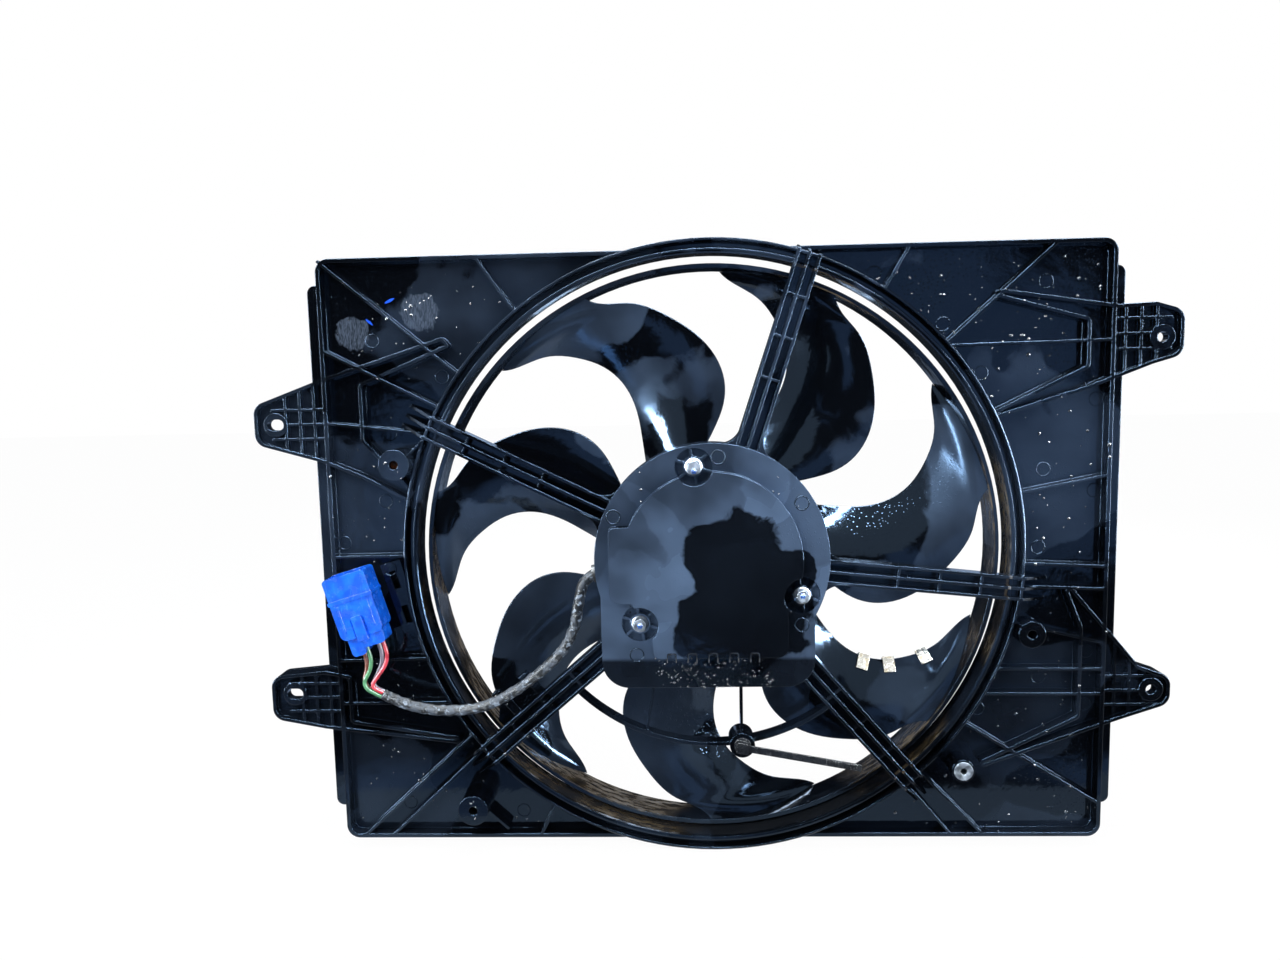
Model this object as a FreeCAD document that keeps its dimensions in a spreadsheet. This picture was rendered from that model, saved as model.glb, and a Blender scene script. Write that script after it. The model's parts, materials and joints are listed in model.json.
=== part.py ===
import FreeCAD, Part
import math
import os
import re
from FreeCAD import Placement, Rotation, Vector

# Radiator cooling fan: a moulded shroud that carries a flat motor and a seven bladed fan.
# X points right and Z up as the shroud stands in the vehicle, seen from the engine.
# Y runs along the fan axis, from the engine side (negative) to the radiator (positive).
# The origin lies on the fan axis, halfway through the depth of the part.

doc = FreeCAD.newDocument("CoolingFan")
sheet = doc.addObject("Spreadsheet::Sheet", "Sizes")

SIZES = {
    # Casing: a shallow box, open to the radiator, with a recessed rear panel
    "plate_left": 288,
    "plate_right": 293,
    "plate_top": 224,
    "plate_bottom": 223,
    "plate_corner": 10,
    "wall_thick": 3,
    "rim_rear": -4,
    "panel_rear": 6,
    "panel_thick": 3,
    "skirt_front": 40,
    "flange_reach": 16,
    "flange_rear": 20,
    "flange_half": 207,
    "rib_thick": 2,
    # Ring round the fan
    "ring_bore": 220.5,
    "ring_outer": 231.5,
    "ring_wall": 3,
    "ring_rear": -8,
    "ring_front": 14,
    "groove_floor": -1,
    # Struts between the motor carrier and the ring
    "strut_width": 18,
    "strut_wall": 2.2,
    "strut_depth": 15,
    "strut_hub_rear": -28,
    "strut_ring_rear": -12,
    "strut_run_out": 20,
    "strut_pitch": 31,
    "strut_flare": 14,
    # Motor carrier in the middle
    "carrier_radius": 85,
    "carrier_left": 81,
    "carrier_right": 74,
    "carrier_foot": 94,
    "carrier_corner": 20,
    "carrier_rear": -32,
    "carrier_front": -14,
    "carrier_wall": 3,
    "dome_radius": 65,
    "dome_rear": -40,
    "dome_wall": 2.5,
    "dome_left": 74,
    "dome_right": 54,
    "dome_foot": 70,
    "vent_width": 7,
    "vent_pitch": 15,
    "well_radius": 13.4,
    "well_wall": 1.6,
    "well_floor": -27,
    "post_radius": 7.4,
    "screw_circle": 69.5,
    "motor_seat": -24,
    # Arc rib with a round tie boss
    "arc_radius": 142,
    "arc_rear": -20,
    "arc_front": -9,
    "arc_thick": 3,
    "tie_boss_x": 21,
    "tie_boss_radius": 9.3,
    "tie_boss_rear": -27,
    "tie_peg_radius": 3,
    # Round bosses on the panel
    "hose_boss_radius": 11.5,
    "hose_boss_rear": -20,
    "hose_boss_bore": 3.4,
    "clip_boss_radius": 10,
    "clip_boss_rear": -12,
    "insert_radius": 6,
    "insert_bore": 2.6,
    "insert_rear": -14,
    # Fixing ears
    "ear_reach": 341,
    "ear_rear": -4,
    "ear_front": 14,
    "ear_web": 3,
    "ear_wall": 2.5,
    "ear_recess": 5,
    "ear_grid": 11,
    "ear_boss": 9,
    "ear_pad_thick": 6,
    "slot_radius": 4.2,
    "slot_travel": 4.4,
    "round_hole": 3.8,
    # Fan: hub, blades and outer band
    "blade_count": 7,
    "blade_thick": 2.8,
    "blade_camber": 4.5,
    "band_outer": 213,
    "band_wall": 2.6,
    "fan_rear": -1,
    "fan_front": 32,
    "hub_radius": 79,
    "hub_wall": 2.6,
    "hub_rear": -8,
    "hub_front": 33,
    "hub_round": 9,
    "hub_boss": 13,
    "hub_boss_rear": 18.8,
    "hub_ribs": 14,
    "dish_radius": 27,
    "dish_lean": 8,
    # Motor
    "can_radius": 58,
    "can_wall": 2,
    "can_front": 14,
    "plate_thick": 2.5,
    "shaft_play": 0.05,
    "rest_gap": 0.3,
    "ear_pad": 8.5,
    "ear_neck": 14,
    "bearing_outer": 11,
    "bearing_width": 7,
    "rear_bearing_rear": -30.5,
    "front_bearing_rear": 10,
    "bearing_wall": 2,
    "shaft_radius": 4,
    "shaft_rear": -32,
    "shaft_front": 38,
    "magnet_thick": 9,
    "air_gap": 1.2,
    "stack_rear": -8,
    "stack_front": 5.5,
    "winding_rear": -13.5,
    "winding_front": 9,
    "commutator_radius": 12,
    "commutator_rear": -20.5,
    "card_thick": 2,
    "brush_side": 5,
    "brush_length": 12,
    "nut_flats": 13,
    "nut_tall": 6.5,
    # Screws that hold the motor
    "screw_radius": 2.5,
    "screw_play": 0.3,
    "screw_length": 17,
    "head_radius": 6.2,
    "head_flats": 8,
    "head_tall": 4,
    "flange_tall": 1.2,
    # Connector and lead
    "connector_width": 33,
    "connector_long": 62,
    "connector_deep": 22,
    "connector_wall": 2.2,
    "connector_tilt": 16.5,
    "connector_x": -264,
    "connector_z": -38,
    "connector_rear": -27,
    "socket_deep": 24,
    "lead_radius": 4.2,
    "wire_radius": 1.5,
    "grommet_radius": 6.5,
    "grommet_length": 8,
    "hook_width": 6,
    # Cable tie and balance clips
    "tie_width": 5,
    "tie_thick": 1.4,
    "tie_length": 86,
    "clip_width": 9,
    "clip_depth": 11,
    "clip_sheet": 0.9,
}

for row, (alias, value) in enumerate(SIZES.items(), 1):
    sheet.set("A%d" % row, alias)
    sheet.set("B%d" % row, str(value))
    sheet.setAlias("B%d" % row, alias)
doc.recompute()

AXIS_Y = Vector(0, 1, 0)
ALONG_Y = Rotation(Vector(1, 0, 0), -90)
FACING_REAR = Rotation(Vector(1, 0, 0), 90)
STRUT_ANGLES = {"a": 71.4, "b": 154.6, "c": -138.3, "d": -49.6, "e": -7.1}
SCREW_ANGLES = (100, -22, -139)


def size(alias):
    """Value of one driving dimension."""
    return float(sheet.get(alias))


def bind(thing, prop, formula):
    """Bind a property to a formula in the words of the sheet, or set a plain number."""
    if isinstance(formula, str):
        thing.setExpression(prop, re.sub(r"\b([a-z]+(?:_[a-z]+)+)\b", r"Sizes.\1", formula))
    else:
        thing.setExpression(prop, repr(float(formula)))


def add(kind, name, at=(0, 0, 0), turn=None, **sizes):
    """Add one object, with its sizes and its place bound to the sheet."""
    thing = doc.addObject(kind, name)
    if turn is not None:
        thing.Placement = Placement(Vector(), turn)
    for prop, formula in sizes.items():
        bind(thing, prop, formula)
    for axis, formula in zip("xyz", at):
        bind(thing, "Placement.Base." + axis, formula)
    return thing


def rod(name, radius, rear, front, x=0, z=0):
    """Round bar along Y."""
    return add("Part::Cylinder", name, at=(x, rear, z), turn=ALONG_Y,
               Radius=radius, Height="(%s) - (%s)" % (front, rear))


def join(name, pieces, refine=True):
    """Fuse pieces that are moulded in one; swept faces are left unmerged."""
    fused = doc.addObject("Part::MultiFuse", name)
    fused.Shapes = pieces
    fused.Refine = refine
    return fused


def cut(name, base, tools):
    """Cut tools from a base."""
    tool = tools[0]
    if len(tools) > 1:
        tool = join(name + "_tools", tools)
    result = doc.addObject("Part::Cut", name)
    result.Base = base
    result.Tool = tool
    return result


def common(name, first, second):
    """Keep what two pieces share."""
    result = doc.addObject("Part::Common", name)
    result.Base = first
    result.Tool = second
    return result


def polar(radius, angle):
    """Point in the XZ plane."""
    a = math.radians(angle)
    return (radius * math.cos(a), radius * math.sin(a))


def rounded(points, radii):
    """Lines and arcs of a closed outline whose corners are rounded."""
    if not isinstance(radii, (list, tuple)):
        radii = [radii] * len(points)
    corners = []
    count = len(points)
    for i, radius in enumerate(radii):
        here = Vector(*points[i], 0)
        back = (Vector(*points[i - 1], 0) - here)
        on = (Vector(*points[(i + 1) % count], 0) - here)
        reach = min(back.Length, on.Length)
        back.normalize()
        on.normalize()
        half = back.getAngle(on) / 2
        if radius <= 0 or abs(half - math.pi / 2) < 1e-3:
            corners.append((here, None, here))
            continue
        leg = min(radius / math.tan(half), 0.49 * reach)
        bow = leg * math.tan(half)
        inward = back + on
        inward.normalize()
        middle = here + inward * (bow / math.sin(half) - bow)
        corners.append((here + back * leg, middle, here + on * leg))
    edges = []
    for i, (start, middle, end) in enumerate(corners):
        if middle is not None:
            edges.append(Part.Arc(start, middle, end))
        following = corners[(i + 1) % count][0]
        if (following - end).Length > 1e-6:
            edges.append(Part.LineSegment(end, following))
    return edges


def outline(name, edges, rear):
    """Sketch of an outline seen along Y, at the given depth."""
    sketch = doc.addObject("Sketcher::SketchObject", name)
    sketch.Placement = Placement(Vector(), FACING_REAR)
    sketch.addGeometry(edges)
    bind(sketch, "Placement.Base.y", rear)
    return sketch


def slab(name, edges, rear, front):
    """Outline drawn along Y into a solid."""
    solid = doc.addObject("Part::Extrusion", name)
    solid.Base = outline(name + "_outline", edges, rear)
    solid.DirMode = "Custom"
    solid.Dir = AXIS_Y
    solid.Solid = True
    bind(solid, "LengthFwd", "(%s) - (%s)" % (front, rear))
    return solid


def inset_slab(name, edges, inset, rear, front):
    """Outline drawn in by an inset, then along Y into a solid."""
    inner = doc.addObject("Part::Offset2D", name + "_inset")
    inner.Source = outline(name + "_outline", edges, rear)
    bind(inner, "Value", "-(%s)" % inset)
    solid = doc.addObject("Part::Extrusion", name)
    solid.Base = inner
    solid.DirMode = "Custom"
    solid.Dir = AXIS_Y
    solid.Solid = True
    bind(solid, "LengthFwd", "(%s) - (%s)" % (front, rear))
    return solid


def turned(name, points, radii=0, x=0, z=0):
    """Solid of revolution about Y; points are (radius, depth)."""
    sketch = doc.addObject("Sketcher::SketchObject", name + "_profile")
    sketch.addGeometry(rounded(points, radii))
    solid = doc.addObject("Part::Revolution", name)
    solid.Source = sketch
    solid.Axis = AXIS_Y
    solid.Base = Vector()
    solid.Angle = 360
    solid.Solid = True
    solid.Placement = Placement(Vector(x, 0, z), Rotation())
    return solid


def fin(name, start, end, thick, rear, front):
    """Straight upright rib from one point of the XZ plane to another."""
    run = Vector(end[0] - start[0], 0, end[1] - start[1])
    angle = math.degrees(math.atan2(run.z, run.x))
    side = Rotation(AXIS_Y, -angle)
    rib = doc.addObject("Part::Box", name)
    rib.Length = run.Length
    bind(rib, "Width", "(%s) - (%s)" % (front, rear))
    bind(rib, "Height", thick)
    rib.Placement = Placement(Vector(), side)
    shift = side.multVec(Vector(0, 0, -float(size(thick)) / 2))
    bind(rib, "Placement.Base.x", start[0] + shift.x)
    bind(rib, "Placement.Base.y", rear)
    bind(rib, "Placement.Base.z", start[1] + shift.z)
    return rib


def shape_node(name, shape):
    """Piece whose shape is worked out point by point."""
    feature = doc.addObject("Part::Feature", name)
    feature.Shape = shape
    return feature


def tube_along(points, radius, bends):
    """Round tube along straight runs joined by tangent arcs."""
    route = [Vector(*p) for p in points]
    edges = []
    start = route[0]
    for i in range(1, len(route) - 1):
        back = route[i - 1] - route[i]
        on = route[i + 1] - route[i]
        shorter = min(back.Length, on.Length)
        back.normalize()
        on.normalize()
        half = back.getAngle(on) / 2
        leg = 0.45 * shorter
        bend = leg * math.tan(half)
        bends.append(bend)
        inward = back + on
        inward.normalize()
        middle = route[i] + inward * (bend / math.sin(half) - bend)
        enter = route[i] + back * leg
        leave = route[i] + on * leg
        edges.append(Part.LineSegment(start, enter).toShape())
        edges.append(Part.Arc(enter, middle, leave).toShape())
        start = leave
    edges.append(Part.LineSegment(start, route[-1]).toShape())
    path = Part.Wire(edges)
    facing = route[1] - route[0]
    section = Part.Wire(Part.Circle(route[0], facing, radius).toShape())
    return path.makePipeShell([section], True, False)


# Casing


def plate_box(name, inset, rear, front):
    """Rounded rectangle of the plate, drawn in by an inset."""
    left = -size("plate_left") + inset
    right = size("plate_right") - inset
    top = size("plate_top") - inset
    bottom = -size("plate_bottom") + inset
    corner = max(size("plate_corner") - inset, 1)
    points = [(left, bottom), (right, bottom), (right, top), (left, top)]
    return slab(name, rounded(points, corner), rear, front)


def casing():
    """Box walls and panel, bulged round the ring at the top and the bottom."""
    wall = size("wall_thick")
    outer = join("casing_outer", [
        plate_box("casing_block", 0, "rim_rear", "skirt_front"),
        rod("bulge_block", "ring_outer", "rim_rear", "skirt_front")])
    plenum = join("plenum", [
        plate_box("plenum_block", wall, "panel_rear + panel_thick", "skirt_front + 1"),
        rod("plenum_bulge", "ring_outer - wall_thick", "panel_rear + panel_thick", "skirt_front + 1")])
    recess = plate_box("rear_recess", wall, "rim_rear - 1", "panel_rear")
    mouth = rod("mouth", "ring_bore + ring_wall / 2", "rim_rear - 1", "skirt_front + 1")
    ring_space = rod("ring_space", "ring_outer - 1", "rim_rear - 1", "panel_rear")
    return cut("casing", outer, [plenum, recess, mouth, ring_space])


def flanges():
    """Stepped flanges down both sides, where the shroud meets the radiator tanks."""
    made = []
    half = size("flange_half")
    reach = size("flange_reach")
    thin = size("rib_thick")
    for side, edge in (("left", -size("plate_left")), ("right", size("plate_right"))):
        way = math.copysign(1, edge)
        near = edge - way * size("wall_thick") / 2
        far = edge + way * reach
        step = [(near, -half), (far, -half), (far, half), (near, half)]
        made.append(slab("flange_" + side, rounded(step, [0, 6, 6, 0]),
                         "flange_rear", "flange_rear + wall_thick"))
        lip = [(far - way * thin, -half + 6), (far, -half + 6), (far, half - 6), (far - way * thin, half - 6)]
        made.append(slab("flange_lip_" + side, rounded(lip, 0), "flange_rear", "skirt_front"))
    return made


def ring():
    """Barrel round the fan with a grooved rear face."""
    bore = size("ring_bore")
    outer = size("ring_outer")
    wall = size("ring_wall")
    rear = size("ring_rear")
    front = size("ring_front")
    back = size("panel_rear") + size("panel_thick")
    floor = size("groove_floor")
    profile = [(bore, front), (bore, rear + 2), (bore + 0.8, rear + 0.6), (bore + 2, rear),
               (bore + wall + 0.5, rear), (bore + wall + 1, floor + 1), (bore + wall + 2, floor),
               (outer - 3.5, floor), (outer - 2.5, floor + 1), (outer - 2, rear), (outer - 0.6, rear),
               (outer, rear + 0.6), (outer, back), (bore + wall, back), (bore + wall, front)]
    return turned("ring_body", profile)


# Struts


def wall_distance(angle):
    """Distance from the fan axis to the casing wall in one direction."""
    along, up = polar(1, angle)
    reach = size("plate_right") / along if along > 0 else -size("plate_left") / along
    rise = size("plate_top") / up if up > 0 else -size("plate_bottom") / up
    return min(reach, rise)


def strut(tag, angle):
    """Channel that opens to the rear, with a middle rib, cross ribs and flared roots."""
    inner = size("carrier_radius") - size("carrier_wall")
    bore = size("ring_bore") + 1
    outer = size("ring_outer")
    end = max(outer + 0.5, min(outer + size("strut_run_out"), wall_distance(angle) - 1))
    half = size("strut_width") / 2
    hub_rear = size("strut_hub_rear")
    ring_rear = size("strut_ring_rear")
    deep = size("strut_depth")
    under_hub = hub_rear + deep
    under_ring = ring_rear + deep / 2
    panel = size("panel_rear") + 0.5
    wall = size("strut_wall")
    turn = Rotation(AXIS_Y, -angle)
    slope = (ring_rear - hub_rear) / (outer - inner)

    def side_cut(name, points, low, high):
        """Profile in the radial plane, given a thickness across the strut."""
        sketch = doc.addObject("Sketcher::SketchObject", name + "_side")
        sketch.addGeometry(rounded(points, 0))
        sketch.Placement = Placement(turn.multVec(Vector(0, 0, low)), turn)
        solid = doc.addObject("Part::Extrusion", name)
        solid.Base = sketch
        solid.DirMode = "Custom"
        solid.Dir = turn.multVec(Vector(0, 0, 1))
        solid.Solid = True
        solid.LengthFwd = high - low
        return solid

    rib = [(inner, hub_rear), (outer, ring_rear), (end, panel - 4), (end, panel), (bore, panel),
           (bore, under_ring), (inner, under_hub)]
    floor = [(inner, under_hub - 2.5), (bore, under_ring - 2.5), (outer, under_ring - 2.5),
             (outer, panel), (bore, panel), (bore, under_ring), (inner, under_hub)]
    made = [side_cut("strut_%s_left" % tag, rib, half - wall, half),
            side_cut("strut_%s_middle" % tag, rib, -wall / 2, wall / 2),
            side_cut("strut_%s_right" % tag, rib, -half, wall - half),
            side_cut("strut_%s_floor" % tag, floor, -half, half)]
    steps = int((outer - inner) / size("strut_pitch"))
    for i in range(1, steps + 1):
        radius = outer - 3 - (i - 1) * size("strut_pitch")
        rear = hub_rear + slope * (radius - inner)
        depth = under_ring - rear if radius > bore else under_hub - 2 - rear
        cross = doc.addObject("Part::Box", "strut_%s_cross_%d" % (tag, i))
        cross.Length = size("rib_thick")
        cross.Width = max(depth - 3, 4)
        cross.Height = 2 * half
        cross.Placement = Placement(turn.multVec(Vector(radius, rear + 0.4, -half)), turn)
        made.append(cross)
    flare = size("strut_flare")
    edge = math.sqrt(size("carrier_radius") ** 2 - (half + flare) ** 2) - 1
    for side in (1, -1):
        root = [(edge - 6, side * (half - 1)), (edge + flare + 6, side * (half - 1)),
                (edge + flare + 4, side * half), (edge, side * (half + flare))]
        turned_root = []
        for along, across in root:
            at = turn.multVec(Vector(along, 0, across))
            turned_root.append((at.x, at.z))
        start, toe, bend, rim = [Vector(x, z, 0) for x, z in turned_root]
        middle_at = turn.multVec(Vector(edge + flare * 0.36, 0, side * (half + flare * 0.30)))
        curve = Part.Arc(bend, Vector(middle_at.x, middle_at.z, 0), rim)
        shape = [Part.LineSegment(start, toe), Part.LineSegment(toe, bend), curve,
                 Part.LineSegment(rim, start)]
        made.append(slab("strut_%s_root_%s" % (tag, "up" if side > 0 else "down"), shape,
                         "strut_hub_rear + 1", "strut_hub_rear + strut_depth - 1"))
    return made


# Motor carrier


def carrier_outline(inset):
    """Round carrier with a squared foot."""
    left = -size("carrier_left") + inset
    right = size("carrier_right") - inset
    foot = -size("carrier_foot") + inset
    points = [(left, 0), (left, foot), (right, foot), (right, 0)]
    return rounded(points, [0, size("carrier_corner"), size("carrier_corner"), 0])


def carrier_blank(name, inset, rear, front):
    """Disc and foot of the carrier, drawn in by an inset."""
    return join(name, [
        rod(name + "_disc", "carrier_radius - %s" % inset, rear, front),
        slab(name + "_foot", carrier_outline(size(inset) if isinstance(inset, str) else inset),
             rear, front)])


def dome_block(name, inset, rear, front):
    """Dome as a disc and a body, clipped to the D shape."""
    radius = size("dome_radius") - inset
    left = -size("dome_left") + inset
    right = size("dome_right") - inset
    foot = -size("dome_foot") + inset
    step = 0.4 * size("dome_radius")
    low = -0.45 * size("dome_radius")
    round_part = rod(name + "_round", radius, rear, front)
    left_step = slab(name + "_left", rounded([(left, low), (0, low), (0, step), (left, step)],
                                             [8, 0, 0, 4]), rear, front)
    foot_part = slab(name + "_foot", rounded([(-0.72 * radius, 0), (-0.66 * radius, foot),
                                              (right, foot), (right, 0)], [0, 5, 8, 0]), rear, front)
    return join(name, [round_part, left_step, foot_part])


def carrier():
    """Rear plate, wall, dome, screw wells and vents of the motor carrier."""
    blank = carrier_blank("carrier_blank", 0, "carrier_rear", "carrier_front")
    hollow = carrier_blank("carrier_hollow", "carrier_wall", "carrier_rear + carrier_wall",
                           "carrier_front + 1")
    dome = dome_block("dome_outer", 0, "dome_rear", "carrier_rear + carrier_wall")
    cup = dome_block("dome_inner", size("dome_wall"), "dome_rear + dome_wall", "carrier_front")
    wells = []
    bores = []
    posts = []
    for i, angle in enumerate(SCREW_ANGLES, 1):
        x, z = polar(size("screw_circle"), angle)
        wells.append(rod("well_wall_%d" % i, "well_radius + well_wall", "carrier_rear",
                         "motor_seat", x, z))
        bores.append(rod("well_bore_%d" % i, "well_radius", "dome_rear - 1", "well_floor", x, z))
        posts.append(rod("well_post_%d" % i, "post_radius", "carrier_rear - 1", "motor_seat", x, z))
        for spoke in range(6):
            out = polar(size("well_radius") + 0.8, spoke * 60 + angle)
            posts.append(fin("well_spoke_%d_%d" % (i, spoke), (x, z), (x + out[0], z + out[1]),
                             "rib_thick", "carrier_rear + 1.5", "well_floor + 1"))
    vents = []
    for i in range(5):
        x = (i - 2) * size("vent_pitch")
        foot = -size("dome_foot")
        half = size("vent_width") / 2
        box = [(x - half, foot - 5), (x + half, foot - 5), (x + half, foot + 4), (x - half, foot + 4)]
        vents.append(slab("vent_%d" % (i + 1), rounded(box, [0, 0, 1.5, 1.5]),
                          "dome_rear - 1", "carrier_rear - 0.8"))
    body = cut("carrier_shell", join("carrier_skin", [blank, dome]), [hollow, cup] + vents)
    body = join("carrier_walled", [body] + wells)
    body = cut("carrier_bored", body, bores)
    return [body] + posts


# Ribs, bosses and ears

# Ribs that run from the ring to the walls: ring angle, then the place on the wall.
LEFT_RIBS = {150.6: 157, 156: 103, 179.7: 1, -160: -80, -150.4: -114}
RIGHT_RIBS = {40.7: 152, 10.4: 54, -2.7: -14, -7: -31, -13.9: -72, -23.3: -92, -28.6: -111, -35: -197}
TOP_RIBS = {143.4: -288, 127.8: -169, 56.3: 146, 41.3: 251}
BOTTOM_RIBS = {-142.9: -274, -139.5: -252, -121.8: -135, -51: 181, -47.5: 205}


def panel_ribs():
    """Stiffening ribs on the rear of the panel."""
    made = []
    deep = size("wall_thick") / 2
    start_at = size("ring_outer") - 1
    for side, ribs, edge in (("left", LEFT_RIBS, deep - size("plate_left")),
                             ("right", RIGHT_RIBS, size("plate_right") - deep)):
        for i, (angle, height) in enumerate(ribs.items(), 1):
            made.append(fin("rib_%s_%d" % (side, i), polar(start_at, angle), (edge, height),
                            "rib_thick", "rim_rear", "panel_rear + 1"))
    for side, ribs, edge in (("top", TOP_RIBS, size("plate_top") - deep),
                             ("bottom", BOTTOM_RIBS, deep - size("plate_bottom"))):
        for i, (angle, place) in enumerate(ribs.items(), 1):
            place = max(deep - size("plate_left"), min(place, size("plate_right") - deep))
            made.append(fin("rib_%s_%d" % (side, i), polar(start_at, angle), (place, edge),
                            "rib_thick", "rim_rear", "panel_rear + 1"))
    return made


def boss(name, x, z, radius, rear, bore, deep):
    """Round boss on the panel with a hole from the rear."""
    post = rod(name + "_post", radius, rear, "panel_rear + 1", x, z)
    hole = rod(name + "_hole", bore, rear + " - 1", rear + " + " + deep, x, z)
    return cut(name, post, [hole])


HOSE_BOSSES = {"upper": (-232, 72), "lower": (-184, -194)}
CLIP_BOSS = (236, -63)
INSERT_BOSS = (187, -167)


def bosses():
    """Bosses for the coolant hose clips, the wiring clip and the threaded insert."""
    made = []
    for tag, (x, z) in HOSE_BOSSES.items():
        made.append(boss("hose_boss_" + tag, x, z, "hose_boss_radius", "hose_boss_rear",
                         "hose_boss_bore", "18"))
        side = -1 if z > 0 else 1
        made.append(fin("hose_gusset_" + tag, (x, z), (x + 24, z + side * -22), "rib_thick",
                        "rim_rear", "panel_rear + 1"))
    made.append(boss("clip_boss", *CLIP_BOSS, "clip_boss_radius", "clip_boss_rear",
                     "hose_boss_bore", "14"))
    made.append(boss("insert_boss", *INSERT_BOSS, "insert_radius + 2.5", "insert_rear + 0.8",
                     "insert_radius", "12"))
    return made


def ears():
    """Four bracket ears: outline, hole and the ribs that tie them into the panel."""
    reach = size("ear_reach")
    left = -size("plate_left")
    right = size("plate_right")
    plans = {
        "upper_left": {
            "points": [(-reach, 117), (-reach, 88), (left - 4, 74), (left + 27, 61), (-226, 42),
                       (-222, 50), (left + 30, 90), (left + 30, 130), (-190, 158), (-196, 165),
                       (left + 2, 137)],
            "hole": (-325, 102.5, "slot")},
        "lower_left": {
            "points": [(-reach, -92), (-reach, -126), (left - 12, -134), (-195, -147),
                       (-197, -141), (left + 10, -128), (left + 10, -92), (left - 10, -88)],
            "hole": (-323, -106, "slot")},
        "upper_right": {
            "points": [(reach, 172), (reach, 140), (right + 27, 134), (right - 18, 117), (209, 97),
                       (207, 102), (right - 20, 134), (right - 20, 166), (209, 184), (211, 190),
                       (right + 2, 177), (right + 28, 178)],
            "hole": (326, 153, "round")},
        "lower_right": {
            "points": [(reach, -98), (reach, -119), (right + 12, -131), (204, -168), (202, -163),
                       (right - 20, -128), (right - 20, -60), (262, -32), (266, -28),
                       (right + 5, -66), (right + 25, -90)],
            "hole": (327, -108, "round")},
    }
    solids = []
    holes = []
    for name, plan in plans.items():
        points = plan["points"]
        radii = [10] * 2 + [2] * (len(points) - 2)
        block = slab("ear_%s_block" % name, rounded(points, radii), "ear_rear", "ear_front")
        core = inset_slab("ear_%s_core" % name, rounded(points, radii), "ear_wall",
                          "ear_rear - 1", "ear_front + 1")
        web = slab("ear_%s_web" % name, rounded(points, radii), "ear_rear + ear_recess",
                   "ear_rear + ear_recess + ear_web")
        way = math.copysign(1, points[0][0])
        edge = right if way > 0 else left
        middle = (points[0][1] + points[1][1]) / 2
        bars = []
        for i in range(3):
            x = edge + way * (7 + i * size("ear_grid"))
            bars.append(fin("ear_%s_bar_%d" % (name, i), (x, middle - 60), (x, middle + 60),
                            "rib_thick", "ear_rear + 0.5", "ear_rear + ear_recess + 0.5"))
            z = middle + (i - 1) * size("ear_grid")
            bars.append(fin("ear_%s_tie_%d" % (name, i), (edge, z), (edge + way * 40, z),
                            "rib_thick", "ear_rear + 0.5", "ear_rear + ear_recess + 0.5"))
        grid = common("ear_%s_grid" % name, join("ear_%s_bars" % name, bars), block)
        outside = plate_box("ear_%s_inside" % name, 0.5, "ear_rear - 1", "skirt_front")
        filling = cut("ear_%s_filling" % name, join("ear_%s_plate" % name, [web, grid]), [outside])
        walls = cut("ear_%s_walls" % name, block, [core])
        trim = plate_box("ear_%s_trim" % name, size("wall_thick") / 2, "panel_rear + 1", "skirt_front")
        hollow = cut("ear_%s_shell" % name, join("ear_%s_body" % name, [walls, filling]), [trim])
        x, z, kind = plan["hole"]
        pad = rod("ear_%s_boss" % name, "ear_boss", "ear_rear", "ear_rear + ear_pad_thick", x, z)
        solids += [hollow, pad]
        if kind == "slot":
            half = size("slot_travel") / 2
            radius = size("slot_radius")
            path = [Part.LineSegment(Vector(x - half, z - radius, 0), Vector(x + half, z - radius, 0)),
                    Part.Arc(Vector(x + half, z - radius, 0), Vector(x + half + radius, z, 0),
                             Vector(x + half, z + radius, 0)),
                    Part.LineSegment(Vector(x + half, z + radius, 0), Vector(x - half, z + radius, 0)),
                    Part.Arc(Vector(x - half, z + radius, 0), Vector(x - half - radius, z, 0),
                             Vector(x - half, z - radius, 0))]
            holes.append(slab("ear_%s_hole" % name, path, "ear_rear - 1", "ear_front + 1"))
        else:
            holes.append(rod("ear_%s_hole" % name, "round_hole", "ear_rear - 1", "ear_front + 1", x, z))
    return solids, holes


def tie_place():
    """Place of the tie's round boss on the arc rib."""
    x = size("tie_boss_x")
    return x, -math.sqrt(size("arc_radius") ** 2 - x ** 2)


def arc_pieces():
    """Curved tie between the two lower struts, with its round boss and two stays."""
    radius = size("arc_radius")
    first = STRUT_ANGLES["c"]
    last = STRUT_ANGLES["d"]
    half = size("arc_thick") / 2
    inner = [Vector(*polar(radius - half, a), 0) for a in (first, (first + last) / 2, last)]
    outer = [Vector(*polar(radius + half, a), 0) for a in (last, (first + last) / 2, first)]
    edges = [Part.Arc(*inner), Part.LineSegment(inner[2], outer[0]), Part.Arc(*outer),
             Part.LineSegment(outer[2], inner[0])]
    x, z = tie_place()
    foot = -size("carrier_foot") + 1
    stay_x = -50
    stay_z = -math.sqrt(radius ** 2 - stay_x ** 2)
    post = boss("tie_boss", x, z, "tie_boss_radius", "tie_boss_rear", "tie_peg_radius", "14")
    post_trim = slab("tie_boss_front", rounded([(x - 20, z - 20), (x + 20, z - 20), (x + 20, z + 20),
                                                (x - 20, z + 20)], 0), "arc_front + 3", "skirt_front")
    return [slab("arc_band", edges, "arc_rear", "arc_front"),
            cut("tie_boss_trimmed", post, [post_trim]),
            fin("tie_stay", (x, z + 8), (x, foot), "rib_thick", "arc_rear", "arc_front - 2"),
            fin("foot_stay", (stay_x, stay_z), (stay_x + 7, foot), "rib_thick", "arc_rear + 4",
                "arc_front - 2")]


def connector_place():
    """Place of the connector: tilted about Y, its long side up."""
    return Placement(Vector(size("connector_x"), 0, size("connector_z")),
                     Rotation(AXIS_Y, -size("connector_tilt")))


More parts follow.
